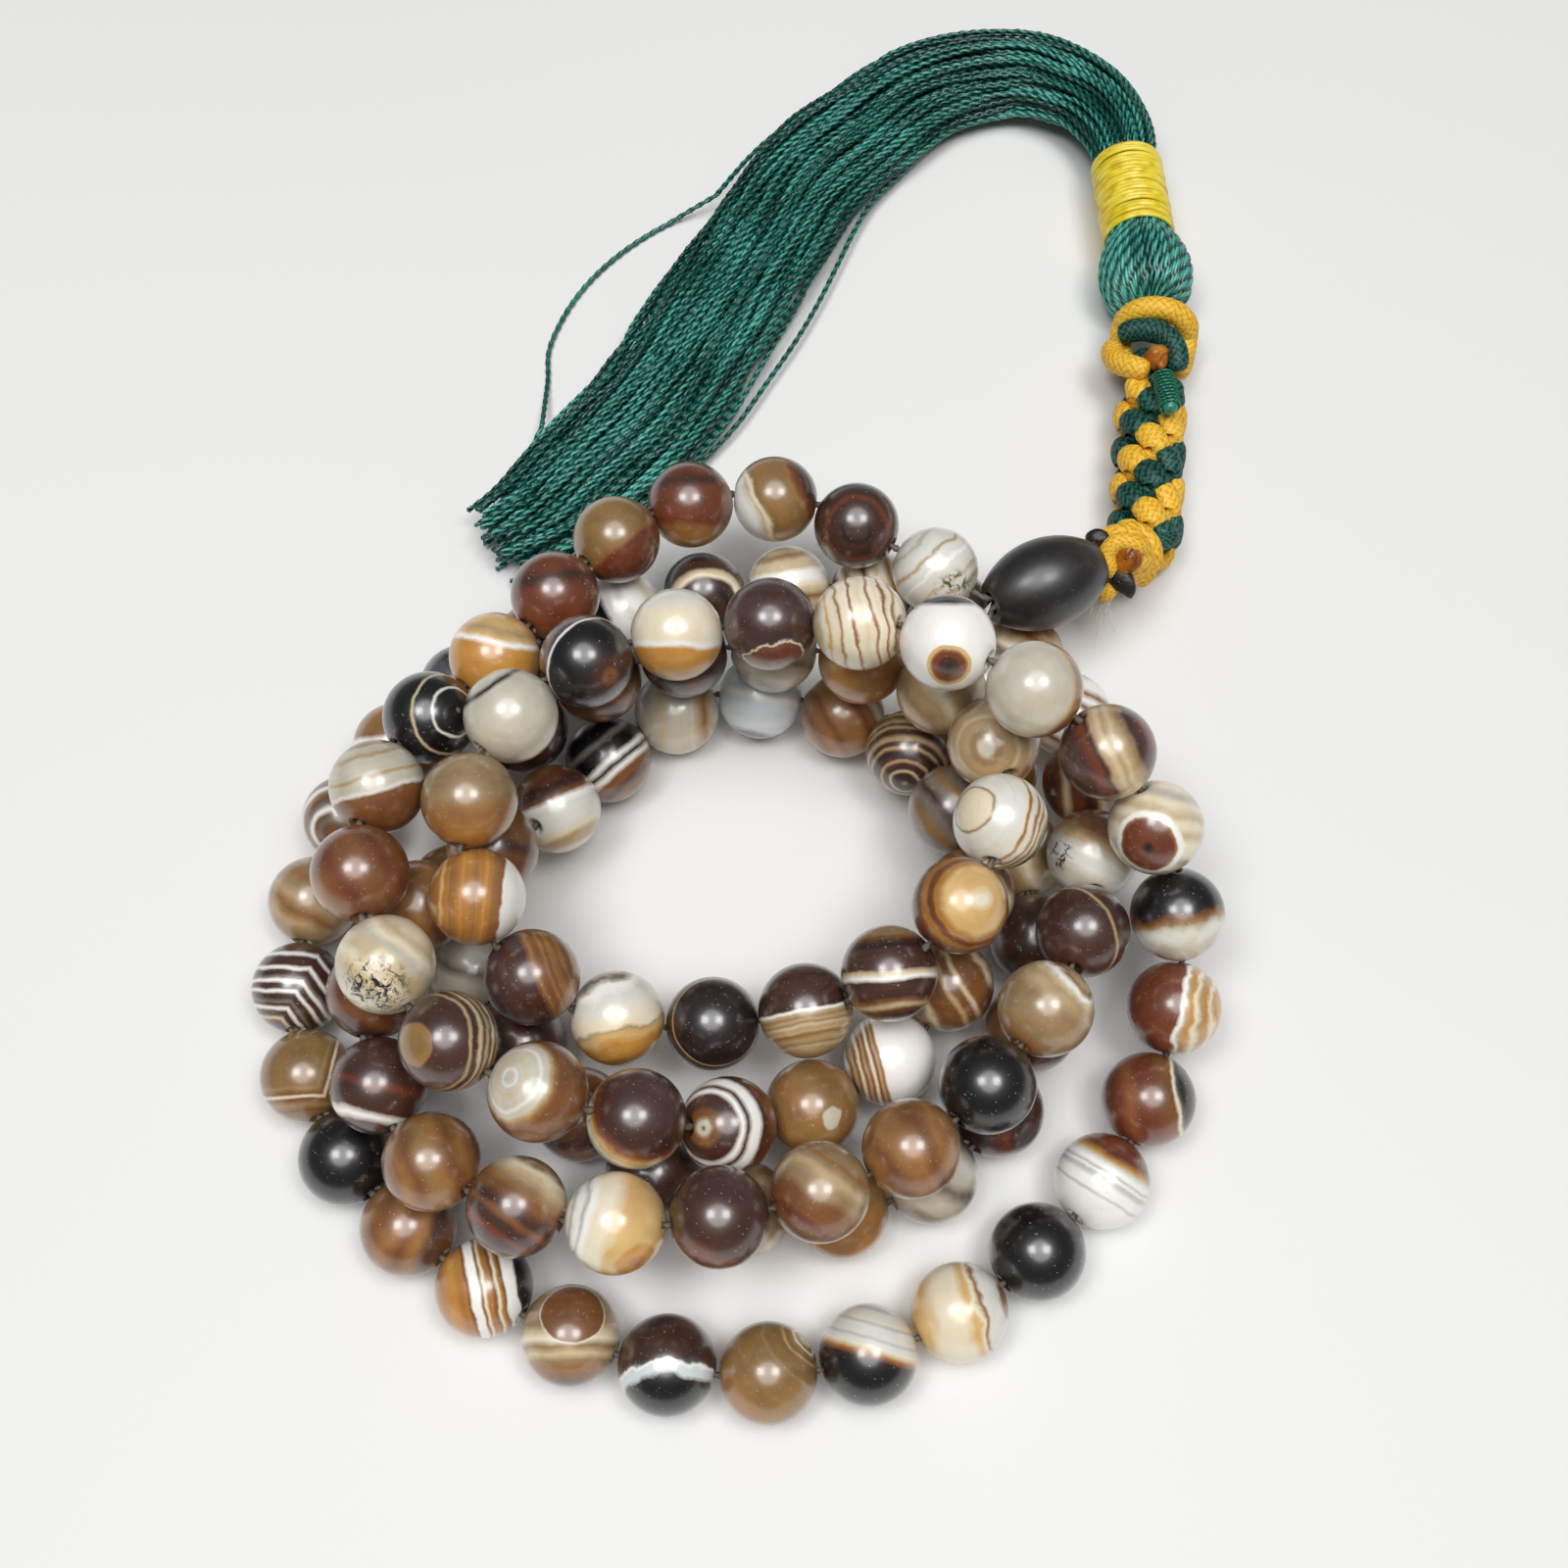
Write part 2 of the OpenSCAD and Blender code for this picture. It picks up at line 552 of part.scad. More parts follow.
bead_023();
bead_024();
bead_025();
bead_026();
bead_027();
bead_028();
bead_029();
bead_030();
bead_031();
bead_032();
bead_033();
bead_034();
bead_035();
bead_036();
bead_037();
bead_038();
bead_039();
bead_040();
bead_041();
bead_042();
bead_043();
bead_044();
bead_045();
bead_046();
bead_047();
bead_048();
bead_049();
bead_050();
bead_051();
bead_052();
bead_053();
bead_054();
bead_055();
bead_056();
beads_001_012();
beads_013_022();
beads_057_069();
beads_070_080();
beads_081_091();
beads_092_108();
string_cord();
guru_bead();
core_cord();
lower_knot();
braid_green_a();
braid_green_b();
braid_yellow_a();
braid_yellow_b();
knot_heart();
neck_collar();
green_arc();
side_bight();
singed_end();
whipped_stub();
tassel_head();
tassel_wrap();
tassel_skirt();
stray_thread();

// Least gaps, measured on the points of the curves
function own_gap(p, d, apart) = min([
  for (i = [0 : len(p) - 1]) for (j = [i + apart : 1 : len(p) - 1]) norm(p[i] - p[j])
]) - d;
bead_least = min([for (i = [0 : bead_count - 1]) for (j = near[i]) norm(beads[i] - beads[j])]);
echo(bead_least_gap = bead_least - bead_d);
echo(bead_lowest = min([for (b = beads) b[2]]) - bead_r);
echo(guru_least_gap = min([for (b = beads)
  let (v = b - guru_mid, s = v * guru_dir, r = norm(v - s * guru_dir))
    norm([s, r + guru_arc - guru_d / 2])]) - guru_arc - bead_r);
echo(string_length = run_of(string_path)[len(string_path) - 1]);
echo(braid_least_gap = min([for (k = [1 : 3]) least(braid_path(0), braid_path(k))]) - tight_d);
echo(lower_knot_own_gap = own_gap(knot_path, cord_d, 14));
echo(wrap_own_gap = own_gap(wrap_path, wrap_d, 14));
echo(whipping_own_gap = own_gap(whip_path, whip_d, 8));
echo(joins = joins);
echo(guru_mouth = guru_mouth, guru_mid = guru_mid, guru_end = guru_end, guru_dir = guru_dir);
echo(pend_root = pend_root, pend_dir = pend_dir, neck_at = neck_at, tassel_dir = tassel_dir);
echo(stub_root = stub_root, skirt_from = skirt_from);
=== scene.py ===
import math
import re
import bpy
import numpy as np
from mathutils import Matrix


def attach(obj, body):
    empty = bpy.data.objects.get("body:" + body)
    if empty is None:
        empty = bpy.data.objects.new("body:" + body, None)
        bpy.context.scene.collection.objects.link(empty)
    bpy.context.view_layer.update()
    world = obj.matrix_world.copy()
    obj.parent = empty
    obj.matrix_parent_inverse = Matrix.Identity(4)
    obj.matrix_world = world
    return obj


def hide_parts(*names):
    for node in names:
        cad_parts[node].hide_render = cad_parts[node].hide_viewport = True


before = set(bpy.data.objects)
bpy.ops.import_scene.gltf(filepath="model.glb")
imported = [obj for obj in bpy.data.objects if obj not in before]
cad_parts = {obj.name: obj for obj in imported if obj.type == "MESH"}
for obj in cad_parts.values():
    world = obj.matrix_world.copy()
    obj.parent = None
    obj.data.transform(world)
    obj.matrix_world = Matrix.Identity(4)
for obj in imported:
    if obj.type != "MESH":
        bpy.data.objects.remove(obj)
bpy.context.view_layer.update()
MM = 0.001
COUNT = 108
rng = np.random.default_rng(COUNT)

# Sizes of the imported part, in millimetres
BEAD, BORE_R, GAP, PITCH, KEEP, LIE = 10.0, 0.7, 0.2, 10.3, 10.2, 0.1
STRING_D = 0.9
GURU_L, GURU_D, GURU_FACE = 14.0, 10.6, 5.0
CORD_D, CORD_GAP, CORE_D, TURN_GAP, KNOT_TURNS = 2.7, 0.2, 1.6, 0.55, 2
BRAID_LAYERS, LAYER_ROOM = 8, 0.1
WHIP_D, WHIP_GAP, WHIP_TURNS = 0.4, 0.45, 6
NECK_D, COLLAR_ROOM, HEAD_D, HEAD_L, BOUND_D = 4.0, 0.8, 12.0, 12.0, 8.6
WRAP_D, WRAP_GAP, WRAP_TURNS = 0.6, 0.48, 12
SKIRT_L, SKIRT_AREA, THREAD_D = 138.0, 84.0, 0.8
UP = np.array([0, 0, 1.0])
TURN = 2 * math.pi


def placed(name, data):
    """A new object in the scene."""
    ob = bpy.data.objects.new(name, data)
    bpy.context.scene.collection.objects.link(ob)
    return ob


# Camera, at the photograph's angle, in metres
SENSOR, LENS, CLIP = 36, 40.5, (0.005, 20)
CAMERA_AT, CAMERA_TILT = (0.005, -0.070, 0.1905), math.radians(25.2)
cam_data = bpy.data.cameras.new("camera")
cam_data.sensor_width = SENSOR
cam_data.lens = LENS
cam_data.clip_start, cam_data.clip_end = CLIP
cam = placed("camera", cam_data)
cam.location = CAMERA_AT
cam.rotation_euler = (CAMERA_TILT, 0, 0)
bpy.context.scene.camera = cam


# Curves, in millimetres
def unit(v):
    """A vector, or each of many, at length one."""
    v = np.asarray(v, float)
    return v / np.linalg.norm(v, axis=-1, keepdims=True)


def smooth(points, steps):
    """A smooth curve through the points, in so many steps from each to the next."""
    p = np.asarray(points, float)
    out = []
    for i in range(len(p) - 1):
        a, b, c, d = p[max(i - 1, 0)], p[i], p[i + 1], p[min(i + 2, len(p) - 1)]
        for s in range(steps):
            t = s / steps
            out.append(0.5 * (2 * b + (c - a) * t + (2 * a - 5 * b + 4 * c - d) * t * t
                              + (3 * b - a - 3 * c + d) * t ** 3))
    out.append(p[-1])
    return np.array(out)


def run_of(p):
    """Length along a path at each of its points."""
    return np.concatenate([[0], np.cumsum(np.linalg.norm(np.diff(p, axis=0), axis=1))])


def at_length(p, s):
    run = run_of(p)
    return np.stack([np.interp(s, run, p[:, a]) for a in range(3)], axis=-1)


def even(p, step):
    """The same path with points about a step apart."""
    total = run_of(p)[-1]
    return at_length(p, np.linspace(0, total, max(3, int(round(total / step)) + 1)))


def framed(root, side, ahead):
    """A function that sets points, given across, along and up, at a root."""
    def place(p):
        p = np.asarray(p, float)
        return root + p[..., :1] * side + p[..., 1:2] * ahead + p[..., 2:3] * UP
    return place


# Meshes
def piece(name, verts, faces, mat, body, nodes=(), origin=(0, 0, 0), shade=None):
    """A mesh object that rides on a body and stands for the nodes; shade is kept for its material."""
    me = bpy.data.meshes.new(name)
    v = (np.asarray(verts) - np.asarray(origin, float)) * MM
    me.from_pydata(v.tolist(), [], faces)
    me.polygons.foreach_set("use_smooth", np.ones(len(me.polygons), bool))
    if shade is not None:
        attr = me.attributes.new("shade", "FLOAT", "POINT")
        attr.data.foreach_set("value", np.full(len(v), shade, np.float32))
    me.materials.append(mat)
    me.update()
    ob = placed(name, me)
    ob.location = np.asarray(origin, float) * MM
    bpy.context.view_layer.update()
    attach(ob, body)
    if nodes:
        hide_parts(*nodes)
    return ob


def tube_faces(n, sides):
    """Side faces of a tube of n rings."""
    i = np.arange(n - 1)[:, None] * sides
    k = np.arange(sides)[None, :]
    k2 = (k + 1) % sides
    return np.stack([i + k, i + k2, i + sides + k2, i + sides + k], -1).reshape(-1, 4)


def capped_faces(n, sides):
    """A tube's faces, with a fan at each end to the two points that follow its rings."""
    k = np.arange(sides)
    k2 = (k + 1) % sides
    last = (n - 1) * sides
    low = np.stack([np.full(sides, n * sides), k2, k], -1)
    top = np.stack([np.full(sides, n * sides + 1), last + k, last + k2], -1)
    return tube_faces(n, sides).tolist() + low.tolist() + top.tolist()


def frames_of(paths):
    """Sides u and w along paths of shape (count, n, 3)."""
    t = unit(np.gradient(paths, axis=1))
    u = np.zeros_like(paths)
    up = np.where(np.abs(t[:, :1, 2:]) < 0.9, [[[0, 0, 1.0]]], [[[1.0, 0, 0]]])
    u[:, 0] = unit(np.cross(t[:, 0], up[:, 0]))
    for i in range(1, paths.shape[1]):
        u[:, i] = unit(u[:, i - 1] - t[:, i] * np.sum(u[:, i - 1] * t[:, i], axis=1, keepdims=True))
    return t, u, np.cross(t, u)


# Ply of the threads: ring radii as shares, the tip's length in radii, and the painted light on the ply's
# crests and painted shade in its grooves
TWO_PLY = [1.0, 0.84, 0.62, 0.84] * 2
HEAD_PLY = [1.0, 0.86, 0.52, 0.86] * 2
TIP, CREST_PAINTED_LIGHT, GROOVE_PAINTED_SHADE = 0.6, 0.45, 2.0


def sweep_many(paths, radius, lobes, turn):
    """Twisted threads: ring radii radius * lobes, the ring turned by turn along each path.
    Returns vertices, faces, and the thread number and the painted light and shade on the ply at each
    vertex: lighter crests, darker grooves."""
    count, n, _ = paths.shape
    t, u, w = frames_of(paths)
    sides = len(lobes)
    a = TURN * np.arange(sides) / sides
    ang = a[None, None, :] + turn[:, :, None]
    r = radius[:, :, None] * np.asarray(lobes)[None, None, :]
    ring = (paths[:, :, None, :]
            + (r * np.cos(ang))[..., None] * u[:, :, None, :]
            + (r * np.sin(ang))[..., None] * w[:, :, None, :])
    body = ring.reshape(count, -1, 3)
    ends = np.stack([paths[:, 0] - t[:, 0] * radius[:, :1] * TIP,
                     paths[:, -1] + t[:, -1] * radius[:, -1:] * TIP], axis=1)
    verts = np.concatenate([body, ends], axis=1)
    per = verts.shape[1]
    one = capped_faces(n, sides)
    faces = [[i + c * per for i in q] for c in range(count) for q in one]
    # the ply's crests are painted lighter and its grooves darker: painted light and shade
    ply_painted_light = np.concatenate([np.tile(CREST_PAINTED_LIGHT + GROOVE_PAINTED_SHADE * (np.asarray(lobes) - 1), n), [0, 0]])
    return verts.reshape(-1, 3), faces, np.repeat(np.arange(count), per), np.tile(ply_painted_light, count)


def thread(path, d, lay):
    """One two-ply thread, twisted once in the length lay."""
    p = even(path, lay / 6)
    turn = TURN * run_of(p) / lay
    v, f, _, _ = sweep_many(p[None], np.full((1, len(p)), d / 2), TWO_PLY, turn[None])
    return v, f


# A braided cord's yarns each way, its step and sides, and the yarns' pitch, depth and width
CARRIERS, CORD_STEP, CORD_SIDES = 8, 0.2, 48
YARN_PITCH, YARN_DEPTH, YARN_NARROW, CORD_TIP = 2.3, 0.16, 1.9, 0.12


def braided(path, d, taper=0.0, out=None, flat=None, bend=0.0):
    """A round braided cord: its yarns run over and under each other on the surface.
    out turns its ring, flat squeezes it along its length, and bend curves its section."""
    p = even(path, CORD_STEP)
    s = run_of(p)
    t, u, w = (q[0] for q in frames_of(p[None]))
    if out is not None:
        run = run_of(path)
        u = np.stack([np.interp(s, run, out[:, a]) for a in range(3)], -1)
        u = unit(u - t * np.sum(u * t, axis=1, keepdims=True))
        w = np.cross(t, u)
    th = np.arange(CORD_SIDES) / CORD_SIDES
    climb = s[:, None] / (YARN_PITCH * d)
    fa = CARRIERS * (th[None, :] + climb)
    fb = CARRIERS * (th[None, :] - climb)
    ra, rb = np.round(fa), np.round(fb)

    def crown(f):
        return np.sqrt(np.clip(1 - (YARN_NARROW * f) ** 2, 0.02, 1))
    h = np.where((ra + rb) % 2 == 0, crown(fa - ra), crown(fb - rb))
    r = d / 2 * (1 - YARN_DEPTH * (1 - h))
    if taper:
        e = np.minimum(s, s[-1] - s)
        r = r * (1 - taper * np.clip(1 - e / (0.5 * d), 0, 1) ** 2)[:, None]
    ang = TURN * th
    thick, wide = r * np.cos(ang), r * np.sin(ang)
    if flat is not None:
        thick, wide = (a * np.interp(s / s[-1], np.linspace(0, 1, len(b)), b)[:, None]
                       for a, b in zip((thick, wide), flat))
    thick = thick - bend * wide ** 2
    ring = p[:, None, :] + thick[..., None] * u[:, None, :] + wide[..., None] * w[:, None, :]
    tips = [p[0] - t[0] * CORD_TIP * d, p[-1] + t[-1] * CORD_TIP * d]
    verts = np.concatenate([ring.reshape(-1, 3), tips])
    # the shade is the yarns' height: painted light on their crowns and painted shade in the gaps between
    # them
    shade = np.concatenate([h.reshape(-1), [0.5, 0.5]])
    return verts, capped_faces(len(p), CORD_SIDES), shade


def joined(parts):
    """Several meshes as one, with their shades."""
    verts, faces, shades, base = [], [], [], 0
    for v, f, shade in parts:
        verts.append(v)
        faces += [[i + base for i in q] for q in f]
        shades.append(np.full(len(v), shade))
        base += len(v)
    return np.concatenate(verts), faces, np.concatenate(shades)


def revolve(profile, mid, axis, segments):
    """Closed profile (radius, height) turned about an axis through mid."""
    z = unit(axis)
    x = unit(np.cross(z, [0, 0, 1] if abs(z[2]) < 0.9 else [1, 0, 0]))
    y = np.cross(z, x)
    prof = np.asarray(profile, float)
    a = TURN * np.arange(segments) / segments
    ring = (np.asarray(mid) + prof[:, None, :1] * (np.cos(a)[None, :, None] * x
            + np.sin(a)[None, :, None] * y) + prof[:, None, 1:2] * z)
    n = len(prof)
    faces = tube_faces(n, segments).tolist()
    k = np.arange(segments)
    k2 = (k + 1) % segments
    faces += np.stack([(n - 1) * segments + k, (n - 1) * segments + k2, k2, k], -1).tolist()
    return ring.reshape(-1, 3), faces


# Materials
def srgb(*c):
    """A colour as it shows, 0 to 255, in the linear values that shaders take."""
    return tuple(((x / 255 + 0.055) / 1.055) ** 2.4 if x > 10 else x / 255 / 12.92 for x in c) + (1,)


class Nodes:
    """Short hand for building one material's node tree."""

    def __init__(self, name):
        self.mat = bpy.data.materials.new(name)
        self.mat.use_nodes = True
        self.tree = self.mat.node_tree
        self.tree.nodes.clear()
        self.shader = self.add("ShaderNodeBsdfPrincipled", {})
        self.add("ShaderNodeOutputMaterial", {0: self.shader.outputs[0]})
        self.co = self.add("ShaderNodeTexCoord", {}).outputs["Object"]

    def fill(self, node, values):
        """Set a node's inputs, each to a value or to another node's output."""
        for name, value in values.items():
            if hasattr(value, "links"):
                self.tree.links.new(value, node.inputs[name])
            elif value is not None:
                node.inputs[name].default_value = value

    def add(self, kind, values, **props):
        node = self.tree.nodes.new(kind)
        for name, value in props.items():
            setattr(node, name, value)
        self.fill(node, values)
        return node

    def math(self, op, a, b=0.0, c=0.0):
        return self.add("ShaderNodeMath", {0: a, 1: b, 2: c}, operation=op).outputs[0]

    def vec(self, op, a, b=None, scale=None):
        n = self.add("ShaderNodeVectorMath", {0: a, 1: b, "Scale": scale}, operation=op)
        return n.outputs["Value" if op in ("DOT_PRODUCT", "DISTANCE") else 0]

    def noise(self, vector, scale, detail=3.0, rough=0.5, color=False, distort=0.0):
        n = self.add("ShaderNodeTexNoise", {"Vector": vector, "Scale": scale, "Detail": detail,
                                            "Roughness": rough, "Distortion": distort})
        return n.outputs["Color" if color else "Fac"]

    def mix(self, fac, a, b, blend="MIX"):
        n = self.add("ShaderNodeMix", {0: fac, 6: a, 7: b}, data_type="RGBA", blend_type=blend)
        return n.outputs[2]

    def ramp(self, fac, stops):
        n = self.add("ShaderNodeValToRGB", {0: fac})
        marks = n.color_ramp.elements
        while len(marks) < len(stops):
            marks.new(0.5)
        for mark, (position, color) in zip(marks, stops):
            mark.position = position
            mark.color = color
        return n.outputs[0]

    def step(self, fac, low, high):
        n = self.add("ShaderNodeMapRange", {0: fac, 1: low, 2: high}, interpolation_type="SMOOTHSTEP")
        return n.outputs[0]

    def bump(self, height, strength, distance):
        n = self.add("ShaderNodeBump", {"Height": height, "Strength": strength, "Distance": distance})
        self.fill(self.shader, {"Normal": n.outputs[0]})

    def finish(self, color, roughness, **more):
        self.fill(self.shader, {"Base Color": color, "Roughness": roughness})
        self.fill(self.shader, {name.replace("_", " "): value for name, value in more.items()})
        return self.mat


# Colours of the agate's bands
PAINT = {letter: srgb(*shown) for letter, shown in {
    "K": (6, 7, 10), "k": (32, 24, 25), "D": (64, 38, 30), "P": (70, 48, 47),
    "R": (106, 54, 32), "r": (136, 82, 48), "B": (116, 74, 40), "b": (144, 102, 58),
    "H": (166, 114, 52), "O": (192, 136, 62), "A": (212, 174, 114),
    "T": (178, 152, 114), "t": (146, 122, 88), "L": (134, 104, 60),
    "C": (234, 222, 196), "c": (202, 184, 150), "W": (248, 246, 240),
    "w": (222, 221, 212), "G": (196, 190, 174), "g": (116, 110, 102),
    "S": (206, 220, 226), "s": (80, 80, 84), "V": (194, 196, 192),
}.items()}
GREYS = [(0.15, 0.15, 0.15, 1), (0.85, 0.85, 0.85, 1)]
# colour of the painted glow: light coming through the stone, painted low on each bead
PAINTED_GLOW = (0.92, 0.72, 0.5, 1)
DUST = srgb(205, 198, 186)
EDGE_SHARE, MOST_STOPS = 0.42, 32
VIEW_POINT = np.array(CAMERA_AT) / MM
VIEW_UP = (0.0, math.cos(CAMERA_TILT), math.sin(CAMERA_TILT))


def letter_stops(letters, soft):
    """Equal bands, one per letter, with soft edges; equal neighbours are one band, and K4 is KKKK."""
    letters = re.sub(r"([A-Za-z])(\d+)", lambda run: run[1] * int(run[2]), letters)
    n = len(letters)
    cuts = [0] + [i for i in range(1, n) if letters[i] != letters[i - 1]] + [n]
    runs = list(zip(cuts, cuts[1:]))
    stops = []
    for k, (a, b) in enumerate(runs):
        before, after = runs[max(k - 1, 0):k + 1], runs[k:k + 2]
        edges = [min(soft, EDGE_SHARE * min(j - i for i, j in near) / n) for near in (before, after)]
        stops.append((a / n + (edges[0] if a else 0), PAINT[letters[a]]))
        stops.append((b / n - (edges[1] if b < n else 0), PAINT[letters[a]]))
    if len(stops) > MOST_STOPS:
        stops = [((i + 0.5) / n, PAINT[c]) for i, c in enumerate(letters)][:MOST_STOPS]
    return stops


# Recipes of a bead's banding: r is to the right and u up, in bead radii, as the bead shows
def bands(angle, letters, warp=0.10, **more):
    return dict(kind="bands", angle=angle, letters=letters, warp=warp, **more)


def eye(r, u, reach, letters, warp=0.08, **more):
    return dict(kind="eye", at=(r, u), reach=reach, letters=letters, warp=warp, **more)


def chevron(angle, sharp, letters, warp=0.08, **more):
    return dict(kind="chevron", angle=angle, sharp=sharp, letters=letters, warp=warp, **more)


def on_ball(r, u):
    """The point of the bead's near side that shows at r, u."""
    return (r, u, math.sqrt(max(0.02, 1 - r * r - u * u)))


def agate(number, look, turn):
    """Banded stone, in the bead's own space: the pattern's planes and centres stand as they show."""
    m = Nodes("agate_%03d" % number)
    in_radii = (2 / (BEAD * MM),) * 3
    p = m.add("ShaderNodeMapping", {0: m.co, "Rotation": turn, "Scale": in_radii}).outputs[0]
    shift = tuple(float(x) for x in np.random.default_rng(number).uniform(-40, 40, 3))
    q = m.vec("ADD", p, shift)
    w = m.vec("SUBTRACT", m.noise(q, look.get("size", 1.3), 4.0, 0.55, True), (0.5, 0.5, 0.5))
    pw = m.vec("ADD", p, m.vec("SCALE", w, scale=2.2 * look["warp"]))
    a = math.radians(look.get("angle", 0))
    n = (math.cos(a), math.sin(a), 0.0)
    across = (-math.sin(a), math.cos(a), 0.0)
    if look["kind"] == "eye":
        s = m.math("DIVIDE", m.vec("DISTANCE", pw, on_ball(*look["at"])), look["reach"])
    else:
        d = m.vec("DOT_PRODUCT", pw, n)
        if look["kind"] == "chevron":
            side = m.math("ABSOLUTE", m.vec("DOT_PRODUCT", pw, across))
            d = m.math("ADD", d, m.math("MULTIPLY", side, look["sharp"]))
        s = m.math("MULTIPLY_ADD", d, 0.5, 0.5)
    color = m.ramp(s, letter_stops(look["letters"], look.get("soft", 0.03)))
    for r, u, size, letters in look.get("spots", ()):
        ds = m.math("DIVIDE", m.vec("DISTANCE", pw, on_ball(r, u)), size)
        inner = m.ramp(ds, letter_stops(letters, 0.06))
        color = m.mix(m.step(ds, 1.0, 0.9), color, inner)
    # fine growth lines along the bands, then a cloudy mottle
    run = m.vec("SCALE", (1, 0, 0) if look["kind"] == "eye" else n, scale=m.math("MULTIPLY", s, 26.0))
    lines = m.ramp(m.noise(m.vec("ADD", run, shift), 1.0, 2.0, 0.6), [(0.3, GREYS[0]), (0.7, GREYS[1])])
    color = m.mix(look.get("line", 0.12), color, lines, "SOFT_LIGHT")
    cloud = m.noise(q, 1.5, 6.0, 0.55, distort=0.3)
    color = m.mix(0.4, color, m.ramp(cloud, [(0.3, GREYS[0]), (0.72, GREYS[1])]), "SOFT_LIGHT")
    # painted glow: the lower part of the bead, as it faces the view, is warmed and lightened, a painted
    # stand-in for light that comes through the stone
    painted_glow = m.math("MULTIPLY", m.step(m.vec("DOT_PRODUCT", p, (0.0, 1.0, -0.25)), 0.25, -0.9), 0.4)
    color = m.mix(painted_glow, color, PAINTED_GLOW, "SOFT_LIGHT")
    for spot_color, where, size in look.get("moss", ()):
        mask = m.step(m.vec("DISTANCE", p, on_ball(*where)), size, size * 0.45)
        twig = m.step(m.noise(q, 5.0, 8.0, 0.7, distort=1.2), 0.5, 0.56)
        color = m.mix(m.math("MULTIPLY", mask, twig), color, spot_color)
    # pale dust and small nicks
    dust = m.step(m.noise(q, 17.0, 2.0, 0.5), 0.69, 0.73)
    color = m.mix(m.math("MULTIPLY", dust, 0.5), color, DUST)
    return m.finish(color, 0.4, Specular_IOR_Level=0.5, Coat_Weight=1.0, Coat_IOR=1.65,
                    Coat_Roughness=0.2)


def facing(at):
    """Turn that lays a bead's pattern towards the view point."""
    z = unit(VIEW_POINT - at)
    x = unit(np.cross(VIEW_UP, z))
    return tuple(Matrix([x, np.cross(z, x), z]).to_euler("XYZ"))


# Cord and thread: soil noise, fibre noise, what shade, soil and fibre count, offset, stops, bump, gloss;
# the shade holds each thread's own tone with painted light and shade on crowns, crests and grooves
NYLON = ((260.0, 5.0, 0.6), (5200.0, 3.0, 0.6), (0.8, 0.42, 0.3), -0.37, (0.1, 0.55, 0.98), 0.35, 0.4)
SPUN = ((120.0, 3.0, 0.5), (3800.0, 3.0, 0.65), (0.55, 0.35, 0.35), -0.19, (0.05, 0.45, 0.95), 0.4, 0.8)
FIBRE_DEPTH = 0.0001


def yarn(name, recipe, roughness, *colours):
    """Cord or thread: painted shade between its yarns and plies and painted light on their crowns, soiled
    in patches, with fine fibres.
    """
    soil, fibres, counts, more, stops, bump, gloss = recipe
    m = Nodes(name)
    # the shade holds each thread's own tone and the painted light and shade of its yarns and plies
    shade = m.add("ShaderNodeAttribute", {}, attribute_name="shade").outputs["Fac"]
    fibre = m.noise(m.co, *fibres)
    v = more
    for tone, count in zip((shade, m.noise(m.co, *soil), fibre), counts):
        v = m.math("MULTIPLY_ADD", tone, count, v)
    m.bump(fibre, bump, FIBRE_DEPTH)
    color = m.ramp(v, [(at, srgb(*shown)) for at, shown in zip(stops, colours)])
    return m.finish(color, roughness, Specular_IOR_Level=gloss)


# The strand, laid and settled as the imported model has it, from a route in bead diameters
ROUTE = [
    (2.75, 3.25, 1.15), (2.6, 2.7, 0.9), (3.1, 1.3, 0.55), (3.2, -0.1, 0.5), (3.1, -1.4, 0.5),
    (2.4, -2.5, 0.5), (1.1, -3.2, 0.5), (-0.8, -2.9, 0.5), (-2, -1.8, 0.5), (-2.9, -0.4, 0.5),
    (-3.2, 0.9, 0.6), (-2.4, 2.2, 1.1), (-1, 2.8, 1.4), (0.6, 2.9, 1.5), (2, 2.5, 1.6),
    (2.8, 1.4, 2.1), (2.6, 0, 2.3), (1.5, -1, 1.75), (0.7, -1.2, 1.2), (-0.8, -1.3, 1),
    (-2.1, -1, 1.65), (-2.8, 0.1, 2.3), (-2.4, 1.6, 2.5), (-1.1, 2.4, 2.4), (0.4, 2.7, 2.5),
    (1.7, 2.3, 3), (3, 1.6, 3.2), (4.1, 0.8, 2.4), (4.7, -0.3, 1.4), (4.6, -1.5, 0.7),
    (3.8, -2.9, 0.5), (2.3, -4.2, 0.5), (0.5, -4.8, 0.5), (-1.5, -4.5, 0.5), (-3.2, -3.5, 0.5),
    (-4.6, -1.9, 0.5), (-4.8, 0.1, 0.5), (-4.1, 2, 0.7), (-2.4, 3.4, 0.9), (-0.4, 4.1, 0.9),
    (1.6, 4.3, 0.7), (2.6, 3.9, 0.5), (3.4, 3.3, 0.5), (3.9, 1.9, 0.9), (3.7, -0.2, 1.2),
    (2.7, -2, 1.4), (1.6, -2.9, 1.4), (-0.3, -3.5, 1.6), (-2.2, -3.3, 1.4), (-3.7, -2, 1.3),
    (-3.8, -0.8, 1.4), (-3.4, 0, 1.4), (-2.5, 0.7, 1.1), (-2.2, 1.4, 0.6), (-1.1, 2.4, 0.5),
    (0.3, 2.8, 0.5), (1.7, 2.2, 0.6), (2.4, 1, 1.2), (2.5, -0.4, 1), (1.6, -1.6, 0.6),
    (0.4, -2.3, 1), (-1.4, -2.5, 1.9), (-3.1, -1.6, 2.1), (-3.8, -0.3, 2.2), (-3.6, 1.2, 2.2),
    (-2.7, 2.5, 2), (-1.4, 4.1, 1.9), (0.4, 4.9, 1.6), (1.8, 4.4, 1.5), (2.75, 3.75, 1.4),
]
